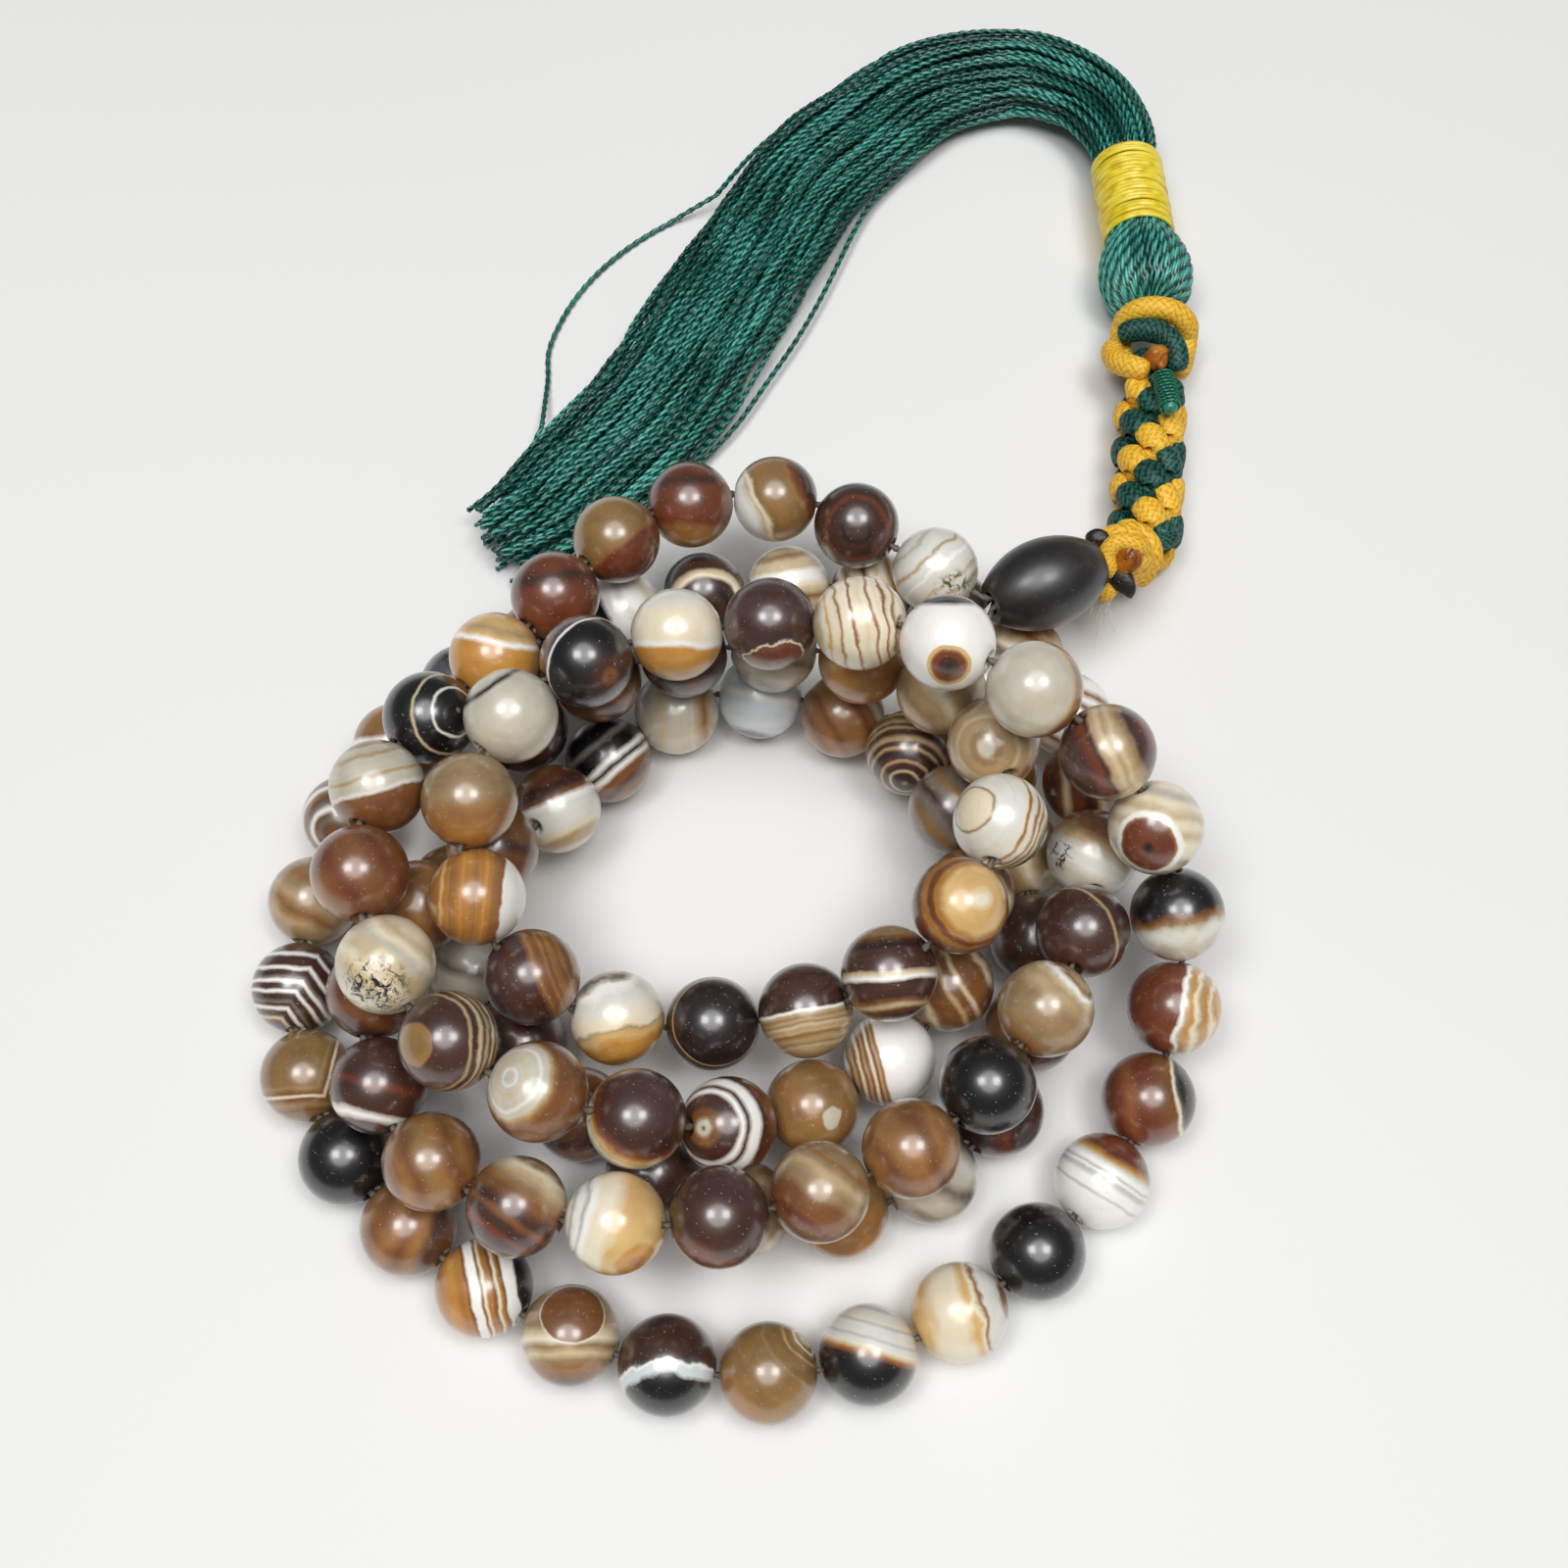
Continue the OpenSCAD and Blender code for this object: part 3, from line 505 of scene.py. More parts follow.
ROUTE_STEPS, SETTLE_ROUNDS, NEAR, PUSH, PULL = 8, 200, 1.7, 0.6, 0.45
GURU_STATIONS = (-0.42, -0.25, 0, 0.25, 0.42)
guru_mouth = BEAD * np.array([2.9, 3.6, 1.44])
guru_dir = unit([0.92, 0.39, 0])
guru_mid = guru_mouth + guru_dir * GURU_L / 2
guru_end = guru_mouth + guru_dir * GURU_L
guru_sag = (GURU_D - GURU_FACE) / 2
guru_arc = (guru_sag ** 2 + GURU_L ** 2 / 4) / (2 * guru_sag)


def guru_r(s):
    """The guru bead's radius at s from its middle."""
    return np.sqrt(guru_arc ** 2 - np.square(s)) - guru_arc + GURU_D / 2


def settled():
    """Points where the string passes from bead to bead."""
    fine = BEAD * smooth(ROUTE, ROUTE_STEPS)
    v = at_length(fine, run_of(fine)[-1] * np.arange(COUNT + 1) / COUNT)
    start = (v[:-1] + v[1:]) / 2
    dist = np.linalg.norm(start[:, None] - start[None], axis=2)
    i, j = np.nonzero((dist < NEAR * BEAD) & ~np.eye(COUNT, dtype=bool))
    for _ in range(SETTLE_ROUNDS):
        c = (v[:-1] + v[1:]) / 2
        d = c[i] - c[j]
        apart = np.linalg.norm(d, axis=1)
        b = np.zeros_like(c)
        np.add.at(b, i, d * (np.where(apart < KEEP, KEEP - apart, 0) / apart / 2)[:, None])
        for station in np.array(GURU_STATIONS) * GURU_L:
            d = c - (guru_mid + guru_dir * station)
            apart = np.linalg.norm(d, axis=1)
            room = BEAD / 2 + guru_r(station) + GAP
            b += d * (np.where(apart < room, room - apart, 0) / apart)[:, None]
        b[:, 2] += np.maximum(0, BEAD / 2 + LIE / 2 - c[:, 2])
        q = np.diff(v, axis=0)
        length = np.linalg.norm(q, axis=1, keepdims=True)
        pull = q * (length - PITCH) / (2 * length)
        new = v.copy()
        new[1:-1] += PUSH * (b[:-1] + b[1:]) + PULL * (pull[1:] - pull[:-1])
        v = new
    return v


joins = settled()
beads = (joins[:-1] + joins[1:]) / 2

# Places of the pendant and the tassel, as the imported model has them
PEND_TURN, TASSEL_TURN = math.radians(7), math.radians(-3)
layer_l = CORD_D + LAYER_ROOM
tight_d = 0.75 * CORD_D
braid_mid, braid_swell, braid_rise = 1.28 * CORD_D, 0.13 * CORD_D, 0.25 * CORD_D
braid_r = braid_mid + braid_swell + tight_d / 2
braid_l = BRAID_LAYERS * layer_l
knot_ring_d = CORE_D + CORD_D + 2 * CORD_GAP
knot_l = KNOT_TURNS * (CORD_D + TURN_GAP) + CORD_D
pend_root = np.array([guru_end[0] + 0.85 * knot_l,
                      guru_end[1] + knot_ring_d + CORD_D + 0.1 * knot_l, braid_r + LIE])
pend_dir = np.array([math.sin(PEND_TURN), math.cos(PEND_TURN), 0])
pend_side = np.array([math.cos(PEND_TURN), -math.sin(PEND_TURN), 0])
pend = framed(pend_root, pend_side, pend_dir)


def over(p):
    """Points over the braid's end, in cord diameters."""
    return pend(CORD_D * np.asarray(p, float) + [0, braid_l, 0])


heart_from, heart_l, heart_d = 0.4 * CORD_D, 2.75 * CORD_D, 1.5 * CORD_D
collar_r = NECK_D / 2 + COLLAR_ROOM + CORD_D / 2
neck_at = over([0, 0, 0]) + (heart_from + heart_l + NECK_D / 2 + 2 * CORD_GAP) * pend_dir
neck_at[2] = max(HEAD_D / 2, collar_r + CORD_D / 2) + LIE
tassel_dir = np.array([math.sin(TASSEL_TURN), math.cos(TASSEL_TURN), 0])
tassel_side = np.array([math.cos(TASSEL_TURN), -math.sin(TASSEL_TURN), 0])
tassel = framed(neck_at, tassel_side, tassel_dir)
neck_l = CORD_D / 2 + COLLAR_ROOM + 4 * CORD_GAP
wrap_l = (WRAP_TURNS + 1) * (WRAP_D + WRAP_GAP)
wrap_from = neck_l + HEAD_L

# The skirt's line, from its root in millimetres and then in bead diameters, and half its width
skirt_from = tassel([0, wrap_from + wrap_l + 2 * CORD_GAP, 0])
ARCH = [(0, 0), (-0.8, 6), (-4.5, 13.5), (-12, 18.8), (-20, 19), (-28, 15.8), (-36, 8.6)]
TRAIL = [(0.9, 11.3), (0.3, 10.2), (-0.5, 8.6), (-1.1, 7.4), (-1.9, 6.3), (-2.6, 5.4),
         (-3.45, 4.7), (-4.1, 4.2)]
skirt_line = smooth([(skirt_from[0] + x, skirt_from[1] + y, 0) for x, y in ARCH]
                    + [(BEAD * x, BEAD * y, 0) for x, y in TRAIL], ROUTE_STEPS // 2)
HALVES = [BOUND_D / 2, 6, 7.8, 8.6, 8.8, 9, 9, 9.2, 9.4, 9.6, 9.4, 8.6, 7]
bound_area = math.pi * BOUND_D ** 2 / 4


def skirt_half(t):
    """Half the skirt's width at the share t of its length."""
    return np.interp(t, np.linspace(0, 1, len(HALVES)), HALVES)


def skirt_high(t):
    return (bound_area + (SKIRT_AREA - bound_area) * np.minimum(1, 6 * t)) / (math.pi * skirt_half(t))


def skirt_mid(t):
    p = at_length(skirt_line, t * SKIRT_L)
    drop = np.minimum(1, 5 * t)
    p[..., 2] = (1 - drop) * neck_at[2] + drop * (skirt_high(t) + LIE)
    return p


def skirt_side(t):
    q = skirt_mid(np.minimum(1, t + 0.01)) - skirt_mid(np.maximum(0, t - 0.01))
    return unit(np.stack([q[..., 1], -q[..., 0], 0 * q[..., 0]], -1))


def stray_seat(t):
    return skirt_mid(t) + (skirt_half(t) + THREAD_D / 2 + 1.5 * CORD_GAP) * skirt_side(t)


# The stray thread is the one free cord: it leaves the skirt's edge and comes back to it
STRAY_OUT, STRAY_BACK, STRAY_LAY = 0.52, 0.86, 3.0
STRAY_WAY = [(-7, -3), (-14, -9), (-19, -16), (-22, -24), (-22, -30)]
stray_a, stray_b = stray_seat(STRAY_OUT), stray_seat(STRAY_BACK)
stray_z = THREAD_D / 2 + LIE
stray_path = smooth([stray_a] + [(stray_a[0] + x, stray_a[1] + y, stray_z) for x, y in STRAY_WAY]
                    + [stray_b], ROUTE_STEPS // 2)
stray_path[:, 2] = np.maximum(stray_path[:, 2], stray_z)

green_thread = yarn("green_thread", SPUN, 0.3, (0, 26, 24), (2, 84, 74), (116, 226, 208))
v, f = thread(stray_path, THREAD_D, STRAY_LAY)
stray = piece("stray_thread_a", v, f, green_thread, "tassel", ("stray_thread",),
              shade=0.6)


# Beads: how each one that shows is banded, by its number on the string
def cloudy(angle, letters, warp=0.3, **more):
    return bands(angle, letters, warp, soft=0.1, size=0.8, line=0.04, **more)


LOOKS = {
    # the run that shows most, from the coil's right round the top and the outer turn
    22: eye(-0.15, -0.1, 1.5, "GGttTTTcTTTbbTTB"),
    23: eye(-0.6, 0.3, 1.85, "C9tw11CbCwbCbCTkkKK", 0.12, line=0.3),
    24: eye(0.42, 0.15, 1.75, "C4A12HHHBRBHHHBBRRDRRHHHB", 0.14, soft=0.05),
    25: bands(95, "DDBcBD4WcD5kDBtt", 0.1, line=0.3),
    26: bands(101, "ttTTctTTbTTctTtTWD12P4", 0.07, line=0.35),
    27: eye(0.15, 0.1, 1.35, "k26TDDDkkk", 0.05),
    28: bands(105, "HHOOOAATC4w4WWGgG", 0.3, soft=0.07),
    29: bands(20, "P8D7BbBBbBbbBbBBbB", 0.12, line=0.3),
    30: bands(-5, "bbHHAHHbHHOHHHbHHOHHbbrW8", 0.1, soft=0.03, line=0.3),
    31: bands(92, "H4b5t9", 0.16, soft=0.1, line=0.06),
    32: bands(125, "cG16KGG", 0.06, line=0.05),
    33: eye(0.5, -0.3, 1.75, "RBBBD5k6K12WP8", 0.06, soft=0.09),
    34: bands(90, "HHHO9WWC13w6", 0.14, soft=0.06, line=0.05),
    35: bands(80, "PDPPPDPPPDPP", 0.3, spots=[(0.15, -0.84, 0.66, "RRRrrR12CW")]),
    36: bands(10, "cccCCACCCbC4rC5bCCCrCCbC4", 0.16, line=0.5),
    37: bands(88, "W15kK", 0.08, spots=[(0.03, -0.5, 0.52, "kkDDDRRRbAAW")]),
    38: eye(-0.5, 0.1, 1.9, "G22cTbbBbTTBDDt", soft=0.04, line=0.05),
    39: bands(25, "PDDPPRRDTcTcTtPPRR", 0.14, soft=0.05),
    40: bands(75, "cCGCCcCcCGC", 0.12, spots=[(-0.15, -0.42, 0.8, "kDR8bWWW")]),
    41: bands(100, "wGGGwwGtBkK8", 0.28, soft=0.05),
    42: bands(-10, "R12WTOCTOCOA", 0.22, line=0.2),
    43: bands(8, "R8r4R8B5Csk5", 0.1, soft=0.08, line=0.04),
    44: bands(60, "cW11VW4VVWVWWwcObR7", 0.08),
    45: bands(60, "K", 0.3),
    46: bands(15, "OA4C8AACbw5b", 0.25, soft=0.07, line=0.06),
    47: bands(75, "K15kkBHcCwwVw4VCwwwVww", 0.06),
    48: eye(0.72, 0.6, 1.7, "tTTLLCtLLTL6tL13bb", 0.12),
    49: eye(0.05, -0.95, 1.9, "K17kkSSSWsD8PPDD", 0.2),
    50: bands(90, "DBbtctCct5G", 0.08, spots=[(0.05, 0.5, 0.72, "B14W")]),
    51: bands(12, "H4O4HHHBWWWBCHHBCHBW4kKKKkk", 0.09),
    52: cloudy(-20, "bBbBbPB", 0.35),
    53: bands(30, "K", 0.3),
    54: chevron(-52, 0.75, "L18tLBCBLtLBL", 0.06),
    55: chevron(60, 0.5, "DDDcDDWDgDDWDDWgDDWDDDWDD", line=0.3),
    56: cloudy(60, "tTbTtbtT"),
    57: eye(-0.3, -0.3, 1.7, "BBgBWgBtWgBBGb"),
    58: bands(100, "b6Wb4", 0.16, line=0.05),
    59: cloudy(45, "ssgssksss"),
    60: cloudy(15, "DDBDDRDD"),
    61: bands(30, "KKkKWWwWWCW", 0.14),
    62: eye(0.1, -0.4, 1.6, "DkDDkDDCcDDkDD"),
    63: bands(100, "tcccLcCWWcctc", 0.14),
    64: bands(15, "CBCbCCBCcCbCBC", 0.12),
    # the middle turn, from the back round the right and the front
    65: cloudy(20, "PgPPgwGPgPg"), 66: cloudy(60, "rTTrCTrTr"),
    67: bands(60, "WWBWWbBWWBWbWW", 0.08), 68: bands(5, "RDRcRRDRcRDRR", 0.06, line=0.3),
    69: bands(62, "GwGGwwwGTtBBRB", 0.14, soft=0.05, moss=[(srgb(60, 46, 38), (-0.7, 0.0), 0.45)]),
    70: eye(-0.6, -0.3, 1.7, "DDPPD4PPD14TDDDPDDD", 0.08),
    71: bands(50, "bbbt8TTTcWbT", 0.24, soft=0.07, line=0.04), 72: bands(45, "K", 0.3),
    73: cloudy(30, "bBbbBbb"), 74: bands(58, "BBBRB4tttTTtbttt", 0.16, soft=0.05),
    75: cloudy(70, "RD4PP"),
    76: bands(-15, "WWVWWVWWC7A16", 0.12, soft=0.08, line=0.05,
              spots=[(0.4, -0.75, 0.7, "HHHO5A5")]),
    77: bands(55, "DDDRDDBDDBBbtTcCtb", 0.14, soft=0.05), 78: cloudy(20, "BbBLbBbB"),
    79: bands(75, "DDWDDDRD6", 0.10), 80: cloudy(70, "DBRBDDB"),
    81: cloudy(30, "bBbBbB"), 82: cloudy(70, "BBbBBDBBB"),
    83: bands(115, "CTTCw4WBDDRBb", 0.08), 84: bands(-50, "GKKKgKKKWKWBBDBB", 0.08),
    85: bands(2, "G4cG5TbTG", 0.12, soft=0.06), 86: cloudy(80, "sS5WS6", 0.2),
    87: bands(30, "bBbBbbbBbCb", 0.14),
    88: eye(-0.1, -0.7, 1.9, "tDkkDcDDDTDDkDTDDTtDDTDTtDTDtTDD", 0.06, line=0.3),
    89: cloudy(40, "gLgDgLgg"),
    # the last turn, back to the guru bead
    90: bands(30, "BcBBBbBcB", 0.1), 91: bands(30, "BBBcB4TBBcB4cB", 0.12),
    92: bands(15, "BCBTBCBTBCBTbW19", 0.08, line=0.3),
    93: cloudy(60, "LbLbbLLb", spots=[(0.45, -0.2, 0.28, "G5t")]),
    94: eye(-0.5, -0.05, 1.8, "gGGtBBBD6WWDDW4DDR5D4", 0.08),
    95: eye(0.3, 0.35, 1.6, "P9D7RRHAcCCT", 0.12, soft=0.05),
    96: eye(-0.55, 0.3, 1.9, "GGwGGcGGGwGGTbB9RRRBB", 0.12),
    97: eye(-0.7, -0.05, 1.8, "L7bD12TDDcDTDcDTDD", 0.1, line=0.2),
    98: cloudy(50, "CGcCccGCcC", moss=[(srgb(30, 28, 28), (-0.2, -0.5), 0.85)]),
    99: cloudy(40, "bBRBBRB"),
    100: bands(105, "B12wGGGTG5TGGbB", 0.12, soft=0.05),
    101: eye(0.6, 0.15, 1.7, "gK9wK7cK13", 0.1),
    102: bands(80, "HO10WATAAA", 0.14, soft=0.06, line=0.06),
    103: cloudy(90, "bR4DRR"), 104: bands(130, "R6bL8", 0.16, soft=0.08),
    105: cloudy(90, "HbR4DR"), 106: bands(25, "W4wcCLLbL5bBRDDD", 0.2, soft=0.06),
    107: eye(0.0, -0.1, 1.6, "DDkDDDRDDkDDD", 0.12),
    108: bands(-50, "wwwGw4TwwwWw4cwwTwwCw", 0.22, line=0.2,
              moss=[(srgb(70, 88, 62), (0.45, -0.45), 0.6)]),
}
# beads that hardly show take these in turn
PLAIN = [cloudy(20, "DDkDRDkDD"), cloudy(70, "gGGgGwGg"), cloudy(110, "HbHHAHbH"), cloudy(40, "TtTCTtTb"),
         cloudy(150, "kPDDkDPk"), cloudy(80, "BDBBBDBB")]
# the lip and mouth of a bead's bore, and the steps along and round the bead
LIP_R, LIP_IN, LIP_ROUND, MOUTH, MOUTH_SLOPE = 1.12, 0.16, 0.05, 0.35, 0.21
BALL_STEPS, BEAD_SIDES = 35, 44


def bead_profile():
    """Half section of a bored bead: bore, lip and ball."""
    ball = BEAD / 2
    pole = math.sqrt(ball ** 2 - BORE_R ** 2) - MOUTH
    top = math.sqrt(ball ** 2 - (LIP_R + LIP_IN) ** 2)
    upper = [(BORE_R, 0.0), (BORE_R, pole), (LIP_R - LIP_ROUND, pole + MOUTH_SLOPE),
             (LIP_R + LIP_ROUND, top + 0.01)]
    a0 = math.acos(top / ball)
    arc = [(ball * math.sin(a), ball * math.cos(a)) for a in np.linspace(a0, math.pi - a0, BALL_STEPS)]
    return upper + arc + [(r, -z) for r, z in upper[::-1]][:-1]


PROFILE = bead_profile()
GROUPS = [(1, 12), (13, 22), (57, 69), (70, 80), (81, 91), (92, 108)]


def bead_home(number):
    """Body and node of a bead: its own, or its group's on the strand."""
    for first, last in GROUPS:
        if first <= number <= last:
            return "strand", "beads_%03d_%03d" % (first, last)
    return "bead_%03d_body" % number, "bead_%03d" % number


for number in range(1, COUNT + 1):
    at, along = beads[number - 1], joins[number] - joins[number - 1]
    look = LOOKS.get(number, PLAIN[number % len(PLAIN)])
    body, node = bead_home(number)
    v, f = revolve(PROFILE, at, along, BEAD_SIDES)
    piece("agate_%03d" % number, v, f, agate(number, look, facing(at)), body, (node,), origin=at)

# The string, whose two ends run into the guru bead, and tufts of its fibre beside that bead
LEAD_IN, LEAD_APART, STRING_LAY = 4.9, 0.575, 3.0
guru_across = unit(np.cross(UP, guru_dir))


def guru_lead(side, s):
    """A point of one end of the string, s deep in the guru bead."""
    return guru_mouth + guru_dir * s + guru_across * side * LEAD_APART


string_path = np.concatenate([[guru_lead(-1, LEAD_IN), guru_lead(-1, 0)], joins,
                              [guru_lead(1, 0), guru_lead(1, LEAD_IN)]])
string_mat = yarn("string", SPUN, 0.7, (70, 62, 52), (112, 102, 88), (240, 238, 230))
v, f = thread(string_path, STRING_D, STRING_LAY)
# the string is set far darker than the white of its tufts: painted shade, as where it lies between the
# beads
parts = [(v, f, 0.4)]
# each tuft's start, middle and end, the spread of its hairs and their number
TUFTS = [((42.1, 41.4, 12.8), (43.2, 40.2, 9.4), (43.6, 39.2, 6.2), 1.6, 18),
         ((28.9, 35.6, 13.9), (28.2, 34.6, 13.2), (28.4, 33.6, 12.2), 0.9, 10)]
HAIR_R, HAIR_SIDES = 0.06, 5
for *marks, spread, hairs in TUFTS:
    for _ in range(hairs):
        reach = (0.2, 0.3 * spread, 0.6 * spread)
        path = smooth([np.array(at) + far * rng.normal(size=3) for at, far in zip(marks, reach)], 6)
        straight = np.zeros((1, len(path)))
        v, f, _, _ = sweep_many(path[None], straight + HAIR_R, [1] * HAIR_SIDES, straight)
        parts.append((v, f, 1.6))
v, f, s = joined(parts)
piece("string_twist", v, f, string_mat, "strand", ("string_cord",), shade=s)

# Guru bead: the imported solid, in black satin stone
m = Nodes("guru_stone")
haze = m.noise(m.co, 190.0, 6.0, 0.6)
fine = m.noise(m.co, 2600.0, 4.0, 0.6)
dust = m.step(m.noise(m.co, 4200.0, 2.0, 0.5), 0.7, 0.75)
color = m.ramp(haze, [(0.3, srgb(13, 12, 13)), (0.58, srgb(28, 25, 24)), (0.8, srgb(64, 54, 42))])
color = m.mix(m.math("MULTIPLY", dust, 0.4), color, srgb(150, 146, 140))
m.bump(fine, 0.10, 0.00005)
roughness = m.math("MULTIPLY_ADD", haze, 0.2, 0.36)
guru_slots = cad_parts["guru_bead"].data.materials
guru_slots.clear()
guru_slots.append(m.finish(color, roughness, Specular_IOR_Level=0.8, Coat_Weight=0.5, Coat_Roughness=0.24))

# Pendant: its cords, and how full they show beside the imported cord
CORDS = {
    "yellow": yarn("yellow_cord", NYLON, 0.5, (132, 78, 4), (230, 168, 28), (255, 224, 96)),
    "green": yarn("green_cord", NYLON, 0.5, (0, 10, 10), (0, 38, 33), (52, 130, 112)),
}
LOWER_FULL, UPPER_FULL, LEAD_FULL = 1.18, 1.12, 0.84


def cord_piece(name, colour, cords, *nodes):
    """One or more braided cords as a piece of the pendant."""
    v, f, s = joined(cords)
    piece(name, v, f, CORDS[colour], "pendant", nodes, shade=s)


core_from = guru_end + guru_dir * CORD_GAP
core_to = pend([0, -CORD_GAP, 0])
core_dir = unit(core_to - core_from)
cord_piece("core_braid", "yellow", [braided(np.linspace(core_from, core_to, 30), CORE_D)], "core_cord")

# lower knot: one cord wound round the core, its ends run off straight
knot_mid = (core_from + core_to) / 2
knot_u = unit(np.cross(core_dir, UP))
knot_w = np.cross(core_dir, knot_u)


def knot_at(a):
    """The lower knot's cord at a degrees round the core."""
    a = a[:, None]
    return (knot_mid + core_dir * (a / 360 - KNOT_TURNS / 2) * (CORD_D + TURN_GAP)
            + knot_ring_d / 2 * (np.cos(np.radians(a)) * knot_u + np.sin(np.radians(a)) * knot_w))


turns = knot_at(np.arange(0, 360 * KNOT_TURNS + 1, 6))
knot_path = np.concatenate([[turns[0] - CORD_D * unit(turns[1] - turns[0])], turns,
                            [turns[-1] + CORD_D * unit(turns[-1] - turns[-2])]])
cord_piece("lower_knot_cord", "yellow", [braided(knot_path, LOWER_FULL * CORD_D, 0.25)], "lower_knot")

# braid: its lean in degrees, how a cord swings in and out and climbs, and its section with the changes
LEAN, SNAP, INWARD, SWING, RISE = 22, 1.8, 0.38, 0.72, 1.25
THICK, THICKER, WIDE, WIDER, HOLLOW = 0.66, 0.06, 1.06, 0.34, 0.12
BRAID_POINTS, LEAD_POINT, LEAD_OFF = 800, 40, 0.7
LEAD_DOWN, LEAD_UP = 2.9, 2.4


def braid_at(k, t):
    """The crown plait's cord k at layers t: its path, outward side, thickness and width."""
    a = np.radians(90 * k - 45 * t + LEAN * np.sin(TURN * t) + 45)
    over_it = np.tanh(SNAP * np.cos(TURN * t)) / math.tanh(SNAP)
    r = braid_mid - INWARD + SWING * over_it
    y = layer_l * t + RISE * braid_rise * np.sin(TURN * t)
    out = np.cos(a)[:, None] * pend_side + np.sin(a)[:, None] * UP
    path = pend(np.stack([r * np.cos(a), y, r * np.sin(a)], -1))
    run = run_of(path)
    even_run = np.linspace(0, run[-1], len(run))
    thick = np.interp(even_run, run, THICK + THICKER * over_it)
    wide = np.interp(even_run, run, WIDE + WIDER * over_it)
    return path, out, (thick, wide)


leads = {"green": [], "yellow": []}
seats = (knot_mid + LEAD_DOWN * core_dir, pend([0, braid_l + heart_from + LEAD_UP, 0]))
for k, name in enumerate(["braid_green_a", "braid_yellow_a", "braid_green_b", "braid_yellow_b"]):
    colour = name.split("_")[1]
    path, out, flat = braid_at(k, np.linspace(0, BRAID_LAYERS, BRAID_POINTS))
    cord_piece(name + "_cord", colour, [braided(path, CORD_D, 0.2, out, flat, HOLLOW)], name)
    # its two ends run on into the knots
    ends = ((path[[LEAD_POINT, 0]], out[0]), (path[[-1 - LEAD_POINT, -1]], out[-1]))
    for ((before, end), off), seat in zip(ends, seats):
        way = [before, end, (end + seat) / 2 + LEAD_OFF * off, seat + LEAD_OFF * off]
        leads[colour].append(braided(smooth(way, 8), LEAD_FULL * CORD_D, 0.3))
for colour, cords in leads.items():
    cord_piece("braid_leads_" + colour, colour, cords)

# upper knot: the heart's turns, and the arc and the bight that lie on it in cord diameters
HEART_TURNS, HEART_CORD_D, HEART_WIDE, HEART_HIGH, HEART_IN = 3.2, 2.5, 1.75, 1.5, 0.9
ARC = [(-1.75, 3, 1), (-0.9, 3.15, 1.35), (0.1, 2.85, 1.6), (0.8, 2.1, 1.55), (1.05, 1.1, 1.25)]
BIGHT = [(-2.1, 2.6, 0.6), (-1.98, 1.9, 0.75), (-1.75, 1.3, 1.05), (-1.2, 0.8, 1.45), (-0.5, 0.45, 1.65)]
share = np.linspace(0, 1, 160)
ang = share * TURN * HEART_TURNS
rise = braid_l + heart_from + HEART_IN + share * (heart_l - 2 * HEART_IN)
heart_path = pend(np.stack([HEART_WIDE * np.cos(ang), rise, HEART_HIGH * np.sin(ang)], -1))
cord_piece("knot_heart_cord", "green", [braided(heart_path, HEART_CORD_D, 0.3)], "knot_heart")
for name, colour, way in (("green_arc", "green", ARC), ("side_bight", "yellow", BIGHT)):
    cord = braided(over(smooth(way, 16)), UPPER_FULL * CORD_D, 0.25)
    cord_piece(name + "_cord", colour, [cord], name)
collar = framed(neck_at, pend_side, pend_dir)


def arm(side):
    """One of the collar's two ends, beside the heart."""
    x = heart_d / 2 + 1.5 * CORD_GAP + CORD_D / 2
    return [(side * x, -2 * CORD_D, -0.45 * collar_r),
            (side * 0.98 * collar_r, -1.1 * CORD_D, -0.4 * collar_r),
            (side * 1.02 * collar_r, -0.4 * CORD_D, -0.2 * collar_r)]


ring = [(collar_r * math.cos(a), -0.06 * collar_r * math.cos(a), collar_r * math.sin(a))
        for a in np.radians(np.arange(0, 181, 15))]
collar_path = collar(smooth(arm(1) + ring + arm(-1)[::-1], 6))
cord_piece("neck_collar_cord", "yellow", [braided(collar_path, UPPER_FULL * CORD_D, 0.2)], "neck_collar")

# Melted cord ends
m = Nodes("singed_cord")
blot = m.noise(m.co, 420.0, 5.0, 0.6, distort=0.5)
color = m.ramp(blot, [(0.28, srgb(34, 20, 12)), (0.42, srgb(122, 58, 16)), (0.56, srgb(178, 104, 28)),
                      (0.75, srgb(214, 152, 60))])
m.bump(m.noise(m.co, 900.0, 4.0, 0.6), 0.5, 0.0003)
singed = m.finish(color, 0.32)
# a lump's rows, sides and open pole, and how narrow each of its bumps is
LUMP_ROWS, LUMP_SIDES, LUMP_POLE, LUMP_BUMPS = 28, 40, 0.04, [2] * 5 + [9] * 18


def blob(at, radii, axis, seed, rough):
    """A lump of melted cord."""
    r = np.random.default_rng(seed)
    prof = [(math.sin(a), -math.cos(a)) for a in np.linspace(LUMP_POLE, math.pi - LUMP_POLE, LUMP_ROWS)]
    v, f = revolve(prof, (0, 0, 0), UP, LUMP_SIDES)
    for power in LUMP_BUMPS:
        d = unit(r.normal(size=3))
        v = v * (1 + rough * r.uniform(-1, 1) * np.clip(v @ d, 0, 1)[:, None] ** power)
    z = unit(axis)
    x = unit(np.cross(z, (0.3, 0.2, 1.0)))
    y = np.cross(z, x)
    return np.asarray(at) + v[:, :1] * x * radii[0] + v[:, 1:2] * y * radii[1] + v[:, 2:] * z * radii[2], f


